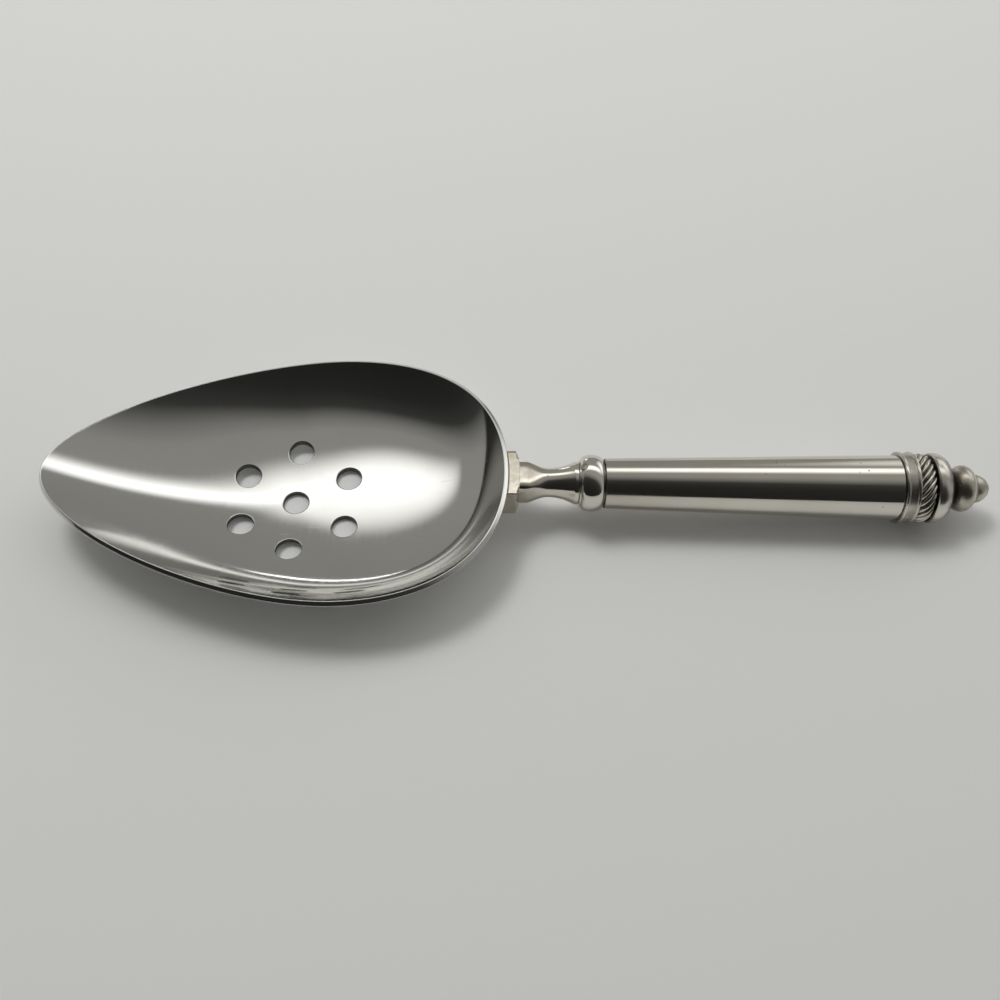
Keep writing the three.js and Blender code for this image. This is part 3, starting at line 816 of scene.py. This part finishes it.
def start_finish(name, metallic):
    """New node material: its tree, its shader and the Object coordinates of the piece."""
    material = bpy.data.materials.new(name)
    material.use_nodes = True
    tree = material.node_tree
    shader = tree.nodes["Principled BSDF"]
    shader.inputs["Metallic"].default_value = metallic
    place = tree.nodes.new("ShaderNodeTexCoord").outputs["Object"]
    return material, tree, shader, place


def ranged(tree, value, start, stop, low, high):
    """Straight map of a value: start becomes low, stop becomes high, and the ends are held."""
    node = tree.nodes.new("ShaderNodeMapRange")
    tree.links.new(value, node.inputs["Value"])
    node.inputs["From Min"].default_value = start
    node.inputs["From Max"].default_value = stop
    node.inputs["To Min"].default_value = low
    node.inputs["To Max"].default_value = high
    return node.outputs["Result"]


def share_of(tree, value, amount):
    """An amount times a value that goes from 0 to 1."""
    return ranged(tree, value, 0.0, 1.0, 0.0, amount)


def combine(tree, operation, first, second):
    """One Math node on two values, with its result held between 0 and 1."""
    node = tree.nodes.new("ShaderNodeMath")
    node.operation = operation
    node.use_clamp = True
    tree.links.new(first, node.inputs[0])
    tree.links.new(second, node.inputs[1])
    return node.outputs["Value"]


def add_up(tree, total, *others):
    """Sum of several values, by one Math node for each value after the first."""
    for value in others:
        total = combine(tree, "ADD", total, value)
    return total


print("every finish starts from a Principled BSDF and Object coordinates")

# %% Noise, pits and marks
LEAN_TURN = (0.0, handle_lean, 0.0)
NOISE_MOST, NOISE_ALL = (0.3, 0.7), (0.2, 0.8)
PIT_CORE = 0.5


def grain(tree, place, scale, turn=(0.0, 0.0, 0.0), detail=3.0):
    """Noise with its own scale along each axis: a large scale gives fine lines across that axis."""
    mapping = tree.nodes.new("ShaderNodeMapping")
    mapping.inputs["Rotation"].default_value = turn
    mapping.inputs["Scale"].default_value = scale
    noise = tree.nodes.new("ShaderNodeTexNoise")
    noise.inputs["Scale"].default_value = 1.0
    noise.inputs["Detail"].default_value = detail
    tree.links.new(place, mapping.inputs["Vector"])
    tree.links.new(mapping.outputs["Vector"], noise.inputs["Vector"])
    return noise.outputs["Fac"]


def pits(tree, place, scale, radius):
    """Small round spots: 1 in a core round each Voronoi point, falling to 0 at one radius from it."""
    cells = tree.nodes.new("ShaderNodeTexVoronoi")
    cells.inputs["Scale"].default_value = scale
    tree.links.new(place, cells.inputs["Vector"])
    return ranged(tree, cells.outputs["Distance"], radius, radius * PIT_CORE, 0.0, 1.0)


def mark(tree, name):
    """Value of a mark that was put on the mesh; a piece without that mark gives 0."""
    node = tree.nodes.new("ShaderNodeAttribute")
    node.attribute_name = name
    return node.outputs["Fac"]


print(f"lines on the handle are turned by {math.degrees(handle_lean):.2f} degrees about Y")

# %% Steps that mix colours and raise the surface
MIX_FIRST, MIX_SECOND, MIX_RESULT = 6, 7, 2


def blend(tree, share, first, second):
    """Colour between two, by a share from 0 to 1; each may be a colour or the output of a node."""
    node = tree.nodes.new("ShaderNodeMix")
    node.data_type = "RGBA"
    tree.links.new(share, node.inputs["Factor"])
    for socket, colour in ((MIX_FIRST, first), (MIX_SECOND, second)):
        if isinstance(colour, tuple):
            node.inputs[socket].default_value = (*colour, 1.0)
        else:
            tree.links.new(colour, node.inputs[socket])
    return node.outputs[MIX_RESULT]


def raise_bump(tree, shader, height, depth):
    """Bump the shader by a height from 0 to 1 that stands for a depth in metres."""
    node = tree.nodes.new("ShaderNodeBump")
    node.inputs["Strength"].default_value = 1.0
    node.inputs["Distance"].default_value = depth
    tree.links.new(height, node.inputs["Height"])
    tree.links.new(node.outputs["Normal"], shader.inputs["Normal"])


print(f"colours enter a Mix node at its inputs {MIX_FIRST} and {MIX_SECOND}")

# %% [markdown]
# The bowl is mirror-polished steel. The polishing wheel ran across the spoon, so faint lines lie along
# Y, and years of serving have left longer scratches at an angle. Both change the roughness a little
# more than the shape, which keeps the reflections clear.

# %% Finish of the bowl
STEEL_LIGHT, STEEL_DARK = (0.69, 0.685, 0.66), (0.62, 0.615, 0.59)
# The near-black colour on the next line is for the hole walls: partly dull sheared steel, partly painted
# shade.
STEEL_SHEARED_SHADE = (0.10, 0.095, 0.09)
STEEL_CLOUDS, STEEL_LINES = (45, 45, 45), (2400, 50, 50)
SCRATCH_LINES, SCRATCH_TURN, SCRATCH_DETAIL = (130, 2600, 400), (0, 0, 0.5), 1.0
SCRATCH_START, SCRATCH_FULL = 0.68, 0.76
STEEL_CLOUD_RANGE = (0.35, 0.7)
STEEL_SMOOTH, STEEL_WORN = 0.05, 0.09
LINE_ROUGHNESS, SCRATCH_ROUGHNESS, SHEARED_ROUGHNESS = 0.05, 0.10, 0.30
STEEL_LINE_FLOOR, CUT_SHARE = 0.4, 0.3
STEEL_RELIEF = 0.7e-6


def mirror_steel():
    """Steel: roughness = cloudy wear + lines + scratches + hole walls; bump = lines - scratches."""
    material, tree, shader, place = start_finish("mirror_steel", 1.0)
    clouds = grain(tree, place, STEEL_CLOUDS)
    lines = grain(tree, place, STEEL_LINES)
    slanted = grain(tree, place, SCRATCH_LINES, SCRATCH_TURN, SCRATCH_DETAIL)
    scratches = ranged(tree, slanted, SCRATCH_START, SCRATCH_FULL, 0.0, 1.0)
    sheared_and_shade = mark(tree, "recess")
    sheet = blend(tree, clouds, STEEL_LIGHT, STEEL_DARK)
    # The hole walls take the near-black colour: partly dull sheared steel, partly painted shade.
    tree.links.new(blend(tree, sheared_and_shade, sheet, STEEL_SHEARED_SHADE), shader.inputs["Base Color"])
    wear = add_up(
        tree,
        ranged(tree, clouds, *STEEL_CLOUD_RANGE, STEEL_SMOOTH, STEEL_WORN),
        ranged(tree, lines, *NOISE_MOST, 0.0, LINE_ROUGHNESS),
        share_of(tree, scratches, SCRATCH_ROUGHNESS),
        share_of(tree, sheared_and_shade, SHEARED_ROUGHNESS),
    )
    tree.links.new(wear, shader.inputs["Roughness"])
    ridges = ranged(tree, lines, *NOISE_ALL, STEEL_LINE_FLOOR, 1.0)
    relief = combine(tree, "SUBTRACT", ridges, share_of(tree, scratches, CUT_SHARE))
    raise_bump(tree, shader, relief, STEEL_RELIEF)
    return material


bowl.data.materials.append(mirror_steel())
print("bowl finish:", bowl.data.materials[0].name)

# %% [markdown]
# The neck, the bead and the tube are plated, and the plate is warmer than steel. It was polished along
# the handle, so its lines run lengthwise. Small pits have opened in it, and the joints hold dark polish.
# Thin brown tarnish lies on the flange and fades along the stem, by the tarnish mark on the neck's
# mesh. One drop has dried on the bead and left a ring: a colour by the distance from a point.

# %% Stain on the bead
STAIN_RADIUS, STAIN_WIDTH = 0.95 * MM, 0.35 * MM
STAIN_INSIDE, STAIN_RING = 0.45, 0.95
STAIN_ALONG, STAIN_ASIDE, STAIN_UP = 1.0, 0.1, 7.0
stain_place = np.array([bead_front + STAIN_ALONG, STAIN_ASIDE, STAIN_UP])
stain_centre = handle_to_world(stain_place) * MM


def ring_stain(tree, place):
    """Dried drop: strongest at one radius from its centre, weaker inside, and 0 one width outside."""
    distance = tree.nodes.new("ShaderNodeVectorMath")
    distance.operation = "DISTANCE"
    distance.inputs[1].default_value = stain_centre
    tree.links.new(place, distance.inputs[0])
    reach = distance.outputs["Value"]
    rising = ranged(tree, reach, STAIN_RADIUS - STAIN_WIDTH, STAIN_RADIUS, STAIN_INSIDE, STAIN_RING)
    falling = ranged(tree, reach, STAIN_RADIUS, STAIN_RADIUS + STAIN_WIDTH, STAIN_RING, 0.0)
    return combine(tree, "MINIMUM", rising, falling)


print("stain on the bead at", tuple(round(c, 4) for c in stain_centre))

# %% Finish of the handle
PLATE_BRIGHT, PLATE_WARM = (0.75, 0.725, 0.66), (0.70, 0.66, 0.575)
PLATE_TARNISH, PLATE_DARK = (0.50, 0.45, 0.36), (0.16, 0.135, 0.11)
PLATE_CLOUDS, PLATE_LINES = (60, 90, 90), (45, 2300, 2300)
PLATE_CLOUD_RANGE = (0.35, 0.68)
PIT_SCALE, PIT_RADIUS = 420, 0.12
PIT_FIELDS, PIT_FIELD_RANGE = (70, 70, 70), (0.52, 0.6)
JOINT_DIRT_START, JOINT_DIRT = 0.25, 0.85
TARNISH_CLOUDS, TARNISH_LEAST, TARNISH_MOST = (420, 420, 420), 0.35, 0.95
PLATE_SMOOTH, PLATE_WORN = 0.045, 0.09
TARNISH_ROUGHNESS, DIRT_ROUGHNESS = 0.12, 0.35
PLATE_LINE_FLOOR, PLATE_RELIEF = 0.3, 1.2e-6


def handle_plate():
    """Plate: bright to warm by clouds, brown by tarnish, and dark in pits, joints and the stain."""
    material, tree, shader, place = start_finish("warm_plate", 1.0)
    clouds = grain(tree, place, PLATE_CLOUDS, LEAN_TURN)
    lines = grain(tree, place, PLATE_LINES, LEAN_TURN)
    fields = ranged(tree, grain(tree, place, PIT_FIELDS), *PIT_FIELD_RANGE, 0.0, 1.0)
    spots = combine(tree, "MULTIPLY", pits(tree, place, PIT_SCALE, PIT_RADIUS), fields)
    joints = ranged(tree, mark(tree, "recess"), JOINT_DIRT_START, 1.0, 0.0, JOINT_DIRT)
    dirt = combine(tree, "MAXIMUM", spots, joints)
    dirt = combine(tree, "MAXIMUM", dirt, ring_stain(tree, place))
    mottle = ranged(tree, grain(tree, place, TARNISH_CLOUDS), *NOISE_MOST, TARNISH_LEAST, TARNISH_MOST)
    tarnish = combine(tree, "MULTIPLY", mark(tree, "tarnish"), mottle)
    warmth = ranged(tree, clouds, *PLATE_CLOUD_RANGE, 0.0, 1.0)
    metal = blend(tree, warmth, PLATE_BRIGHT, PLATE_WARM)
    metal = blend(tree, tarnish, metal, PLATE_TARNISH)
    tree.links.new(blend(tree, dirt, metal, PLATE_DARK), shader.inputs["Base Color"])
    wear = add_up(
        tree,
        ranged(tree, clouds, *NOISE_MOST, PLATE_SMOOTH, PLATE_WORN),
        ranged(tree, lines, *NOISE_MOST, 0.0, LINE_ROUGHNESS),
        share_of(tree, tarnish, TARNISH_ROUGHNESS),
        share_of(tree, dirt, DIRT_ROUGHNESS),
    )
    tree.links.new(wear, shader.inputs["Roughness"])
    ridges = ranged(tree, lines, *NOISE_ALL, PLATE_LINE_FLOOR, 1.0)
    relief = combine(tree, "SUBTRACT", ridges, share_of(tree, spots, CUT_SHARE))
    raise_bump(tree, shader, relief, PLATE_RELIEF)
    return material


plate = handle_plate()
for piece in (neck, bead, tube):
    piece.data.materials.append(plate)
print("handle finish:", plate.name)

# %% [markdown]
# The cast end is handled less and cleaned less. Its lips and ridges are rubbed bright, and its hollows,
# such as the grooves of the rope, keep a dark patina. The recess attribute, written when the meshes
# were made, says how deep each point lies below its surroundings. The finial has a duller, satin skin,
# so one function makes both finishes, with colours and a softness of their own.

# %% Finish of the cast end
CAST_BRIGHT, CAST_DULL, CAST_PATINA = (0.72, 0.695, 0.635), (0.58, 0.55, 0.48), (0.09, 0.08, 0.065)
SATIN_BRIGHT, SATIN_DULL, SATIN_SOFTNESS = (0.60, 0.565, 0.49), (0.46, 0.425, 0.355), 0.12
CAST_CLOUDS, CAST_LINES = (260, 260, 260), (2600, 60, 60)
CAST_CLOUD_RANGE = (0.35, 0.65)
PATINA_UNEVEN, PATINA_START, PATINA_MOST = 0.25, 0.38, 0.95
CAST_SMOOTH, CAST_WORN = 0.10, 0.20
TURNING_ROUGHNESS, PATINA_ROUGHNESS = 0.07, 0.3
HALF_RELIEF, CAST_RELIEF = 0.5, 6.0e-6


def cast_plate(name, bright, dull, softness):
    """Cast plate: colour goes from bright to dull by clouds, then to patina by the recess."""
    material, tree, shader, place = start_finish(name, 1.0)
    clouds = grain(tree, place, CAST_CLOUDS, LEAN_TURN)
    turning = grain(tree, place, CAST_LINES, LEAN_TURN)
    cloudy = ranged(tree, clouds, *NOISE_MOST, 0.0, PATINA_UNEVEN)
    uneven = combine(tree, "ADD", mark(tree, "recess"), cloudy)
    patina = ranged(tree, uneven, PATINA_START, 1.0, 0.0, PATINA_MOST)
    metal = blend(tree, ranged(tree, clouds, *CAST_CLOUD_RANGE, 0.0, 1.0), bright, dull)
    tree.links.new(blend(tree, patina, metal, CAST_PATINA), shader.inputs["Base Color"])
    wear = add_up(
        tree,
        ranged(tree, clouds, *NOISE_MOST, CAST_SMOOTH + softness, CAST_WORN + softness),
        ranged(tree, turning, *NOISE_MOST, 0.0, TURNING_ROUGHNESS),
        share_of(tree, patina, PATINA_ROUGHNESS),
    )
    tree.links.new(wear, shader.inputs["Roughness"])
    ridges = ranged(tree, turning, *NOISE_ALL, 0.0, HALF_RELIEF)
    lumps = ranged(tree, clouds, *NOISE_ALL, 0.0, HALF_RELIEF)
    raise_bump(tree, shader, combine(tree, "ADD", ridges, lumps), CAST_RELIEF)
    return material


cast = cast_plate("cast_plate", CAST_BRIGHT, CAST_DULL, 0.0)
for piece in (collar, rope, cap):
    piece.data.materials.append(cast)
finial.data.materials.append(cast_plate("satin_plate", SATIN_BRIGHT, SATIN_DULL, SATIN_SOFTNESS))
print("cast end finishes:", cast.name, "and", finial.data.materials[0].name)

# %% [markdown]
# Two CAD nodes stay as they are: the rod that joins the neck to the handle, and the filler round it.
# Neither shows from outside, but both get a finish, because the part can be opened in a viewer.

# %% Finish of the rod and of the filler
ROD_LIGHT, ROD_DARK, ROD_LINES = (0.50, 0.505, 0.51), (0.33, 0.33, 0.33), (40, 3000, 3000)
ROD_SMOOTH, ROD_ROUGH, ROD_RELIEF = 0.28, 0.42, 5.0e-6
PITCH_DARK, PITCH_LIGHT, PITCH_GRAINS = (0.10, 0.065, 0.045), (0.24, 0.15, 0.10), (900, 900, 900)
PITCH_SMOOTH, PITCH_ROUGH, PITCH_RELIEF = 0.65, 0.9, 1.0e-4


def drawn_rod():
    """Drawn steel: a dull grey with lengthwise lines from the die."""
    material, tree, shader, place = start_finish("drawn_rod", 1.0)
    lines = grain(tree, place, ROD_LINES, LEAN_TURN)
    tree.links.new(blend(tree, lines, ROD_LIGHT, ROD_DARK), shader.inputs["Base Color"])
    roughness = ranged(tree, lines, *NOISE_MOST, ROD_SMOOTH, ROD_ROUGH)
    tree.links.new(roughness, shader.inputs["Roughness"])
    raise_bump(tree, shader, lines, ROD_RELIEF)
    return material


def poured_pitch():
    """Pitch with brick dust: brown, matt, with grains about a millimetre across."""
    material, tree, shader, place = start_finish("poured_pitch", 0.0)
    grains = grain(tree, place, PITCH_GRAINS)
    tree.links.new(blend(tree, grains, PITCH_DARK, PITCH_LIGHT), shader.inputs["Base Color"])
    roughness = ranged(tree, grains, *NOISE_MOST, PITCH_SMOOTH, PITCH_ROUGH)
    tree.links.new(roughness, shader.inputs["Roughness"])
    raise_bump(tree, shader, grains, PITCH_RELIEF)
    return material


for node, finish in (("tang", drawn_rod()), ("handle_cement", poured_pitch())):
    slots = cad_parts[node].material_slots
    for slot in slots:
        slot.material = finish
    print(f"{node}: {len(slots)} slot takes {finish.name}")

# %% [markdown]
# The camera stands where the photograph was taken from: in front of the spoon, looking down by about
# 55 degrees, with the handle to the right. The distance and the lens were worked out from the ring of
# holes and the length of the spoon.

# %% Camera
CAMERA_X, CAMERA_Z = -4.788, 3.05
CAMERA_DISTANCE = 293.2
CAMERA_ELEVATION = math.radians(54.71)
CAMERA_ROLL = math.radians(0.293)
CAMERA_LENS = 38.506
SENSOR_WIDTH = 36
CLIP_START = 0.01

right = Vector((1, 0, 0))
back = Vector((0, -math.cos(CAMERA_ELEVATION), math.sin(CAMERA_ELEVATION)))
up = back.cross(right)
rolled_right = right * math.cos(CAMERA_ROLL) + up * math.sin(CAMERA_ROLL)
rolled_up = up * math.cos(CAMERA_ROLL) - right * math.sin(CAMERA_ROLL)
camera_data = bpy.data.cameras.new("camera")
camera_data.lens = CAMERA_LENS
camera_data.sensor_width = SENSOR_WIDTH
camera_data.clip_start = CLIP_START
camera = bpy.data.objects.new("camera", camera_data)
camera.matrix_world = Matrix((rolled_right, rolled_up, back)).transposed().to_4x4()
camera.location = (Vector((CAMERA_X, 0, CAMERA_Z)) + back * CAMERA_DISTANCE) * MM
bpy.context.scene.collection.objects.link(camera)
bpy.context.scene.camera = camera
print("camera at", tuple(round(c, 4) for c in camera.location))

# %% [markdown]
# The spoon lies on a plain pale floor. The floor gives off a little light, more of it far away, which
# only the camera and mirrors see. So the floor runs into the backdrop with a soft horizon, while the
# light on the spoon stays plain.

# %% Floor
FLOOR_HALF = 3.0
FLOOR_DROP = 0.0002
FLOOR_COLOUR = (0.86, 0.86, 0.845, 1)
FLOOR_ROUGHNESS = 0.8
FLOOR_LIFT, FLOOR_LIFT_START = 0.04, 0.7
FAR_FLOOR_LIFT, FAR_FLOOR_START = 0.42, 3.0

floor_mesh = bpy.data.meshes.new("floor")
corner_signs = ((-1, -1), (1, -1), (1, 1), (-1, 1))
floor_corners = [(FLOOR_HALF * x, FLOOR_HALF * y, -FLOOR_DROP) for x, y in corner_signs]
floor_mesh.from_pydata(floor_corners, [], [(0, 1, 2, 3)])
floor = bpy.data.objects.new("floor", floor_mesh)
bpy.context.scene.collection.objects.link(floor)
floor_paint = bpy.data.materials.new("floor_paint")
floor_paint.use_nodes = True
paint = floor_paint.node_tree.nodes["Principled BSDF"]
paint.inputs["Base Color"].default_value = FLOOR_COLOUR
paint.inputs["Emission Color"].default_value = FLOOR_COLOUR
paint.inputs["Roughness"].default_value = FLOOR_ROUGHNESS
tree = floor_paint.node_tree
ray = tree.nodes.new("ShaderNodeLightPath")
shown = combine(tree, "MAXIMUM", ray.outputs["Is Camera Ray"], ray.outputs["Is Glossy Ray"])
away = tree.nodes.new("ShaderNodeVectorMath")
away.operation = "LENGTH"
tree.links.new(tree.nodes.new("ShaderNodeTexCoord").outputs["Object"], away.inputs[0])
lift = ranged(tree, away.outputs["Value"], FLOOR_LIFT_START, FAR_FLOOR_START, FLOOR_LIFT, FAR_FLOOR_LIFT)
tree.links.new(combine(tree, "MULTIPLY", shown, lift), paint.inputs["Emission Strength"])
floor_mesh.materials.append(floor_paint)
print(f"floor: {2 * FLOOR_HALF:.0f} m wide")

# %% [markdown]
# Polished metal has no look of its own and shows what stands round it, so the lamps draw the form. A
# long strip behind and above gives the bowl its bright streak and the tube its line. A low panel edges
# the near wall, and a panel past the handle's end lightens the cast pieces. The shadow lamp gives the
# floor its light and its shadow, and mirrors do not show it. Each panel fades to its edges, because the
# polish would show a hard edge.

# %% Lamps
FADE_POWER = 2
STRIP_TURN = math.radians(-11)


def fade(tree, along):
    """1 in the middle of a side and 0 at its ends: 1 - |2c - 1|^power, for c from 0 to 1."""
    centred = tree.nodes.new("ShaderNodeMath")
    centred.operation = "ABSOLUTE"
    tree.links.new(ranged(tree, along, 0, 1, -1, 1), centred.inputs[0])
    raised = tree.nodes.new("ShaderNodeMath")
    raised.operation = "POWER"
    raised.inputs[1].default_value = FADE_POWER
    tree.links.new(centred.outputs["Value"], raised.inputs[0])
    return ranged(tree, raised.outputs["Value"], 0, 1, 1, 0)


def soft_panel(name, place, aim, length, width, radiance, turn=0.0):
    """Area lamp that fades to its edges; power = pi times the area times the radiance of its middle."""
    data = bpy.data.lights.new(name, "AREA")
    data.shape = "RECTANGLE"
    data.size, data.size_y = length, width
    data.energy = math.pi * length * width * radiance
    data.use_nodes = True
    tree = data.node_tree
    sides = tree.nodes.new("ShaderNodeSeparateXYZ")
    tree.links.new(tree.nodes.new("ShaderNodeNewGeometry").outputs["Parametric"], sides.inputs["Vector"])
    across = fade(tree, sides.outputs["Y"])
    squared = combine(tree, "MULTIPLY", across, across)
    strength = combine(tree, "MULTIPLY", squared, fade(tree, sides.outputs["X"]))
    tree.links.new(strength, tree.nodes["Emission"].inputs["Strength"])
    lamp = bpy.data.objects.new(name, data)
    lamp.location = place
    facing = (Vector(place) - Vector(aim)).to_track_quat("Z", "Y")
    lamp.rotation_euler = (facing @ Quaternion((0, 0, 1), turn)).to_euler()
    lamp.visible_camera = False
    bpy.context.scene.collection.objects.link(lamp)
    print(f"{name}: {data.energy:.2f} W")
    return lamp


soft_panel("overhead_strip", (0, 0.43, 0.75), (0, 0.43, 0),
           length=1.9, width=0.5, radiance=1.55, turn=STRIP_TURN)
soft_panel("low_panel", (-0.21, 0.9, 0.14), (-0.21, 0, 0.14), length=0.22, width=0.065, radiance=6.5)
soft_panel("end_panel", (0.72, 0.6, 0.45), (0, 0, 0), length=1.1, width=0.8, radiance=1.1)
shadow_lamp = soft_panel("shadow_lamp", (-0.35, 0.38, 1.0), (0, 0, 0),
                         length=0.5, width=0.5, radiance=12.6)
shadow_lamp.visible_glossy = False

# %% [markdown]
# The world is what the metal shows where no lamp stands: greys that darken towards the front, which
# give the bowl its dark far wall. A picture wrapped round the scene could do this, but a ramp of greys
# along one direction is enough. The camera itself sees an even backdrop instead.

# %% World
SKY_TINT = (1.0, 0.995, 0.955)
SKY_TURN = math.radians(20)
BACKDROP = (0.62, 0.62, 0.605)
SKY_STOPS = (
    (-1.0, 0.015),
    (-0.6, 0.025),
    (-0.35, 0.045),
    (-0.15, 0.22),
    (0.0, 0.32),
    (0.3, 0.33),
    (1.0, 0.28),
)

world = bpy.data.worlds.new("studio")
bpy.context.scene.world = world
world.use_nodes = True
tree = world.node_tree
direction = tree.nodes.new("ShaderNodeTexCoord").outputs["Generated"]
turned_sky = tree.nodes.new("ShaderNodeMapping")
turned_sky.inputs["Rotation"].default_value = (0, 0, SKY_TURN)
tree.links.new(direction, turned_sky.inputs["Vector"])
parts = tree.nodes.new("ShaderNodeSeparateXYZ")
tree.links.new(turned_sky.outputs["Vector"], parts.inputs["Vector"])
ramp = tree.nodes.new("ShaderNodeValToRGB")
tree.links.new(ranged(tree, parts.outputs["Y"], -1, 1, 0, 1), ramp.inputs["Fac"])
seen = tree.nodes.new("ShaderNodeLightPath").outputs["Is Camera Ray"]
shown = blend(tree, seen, ramp.outputs["Color"], BACKDROP)
tree.links.new(shown, tree.nodes["Background"].inputs["Color"])
sky = ramp.color_ramp.elements
for far, _ in SKY_STOPS[1:-1]:
    sky.new((far + 1) / 2)
for element, (_, grey) in zip(sky, SKY_STOPS):
    element.color = (*(grey * part for part in SKY_TINT), 1)
print(f"world: {len(sky)} greys from the front to the far side")

# %% [markdown]
# The scene is shown with the Standard view transform.

# %% View transform
bpy.context.scene.view_settings.view_transform = "Standard"
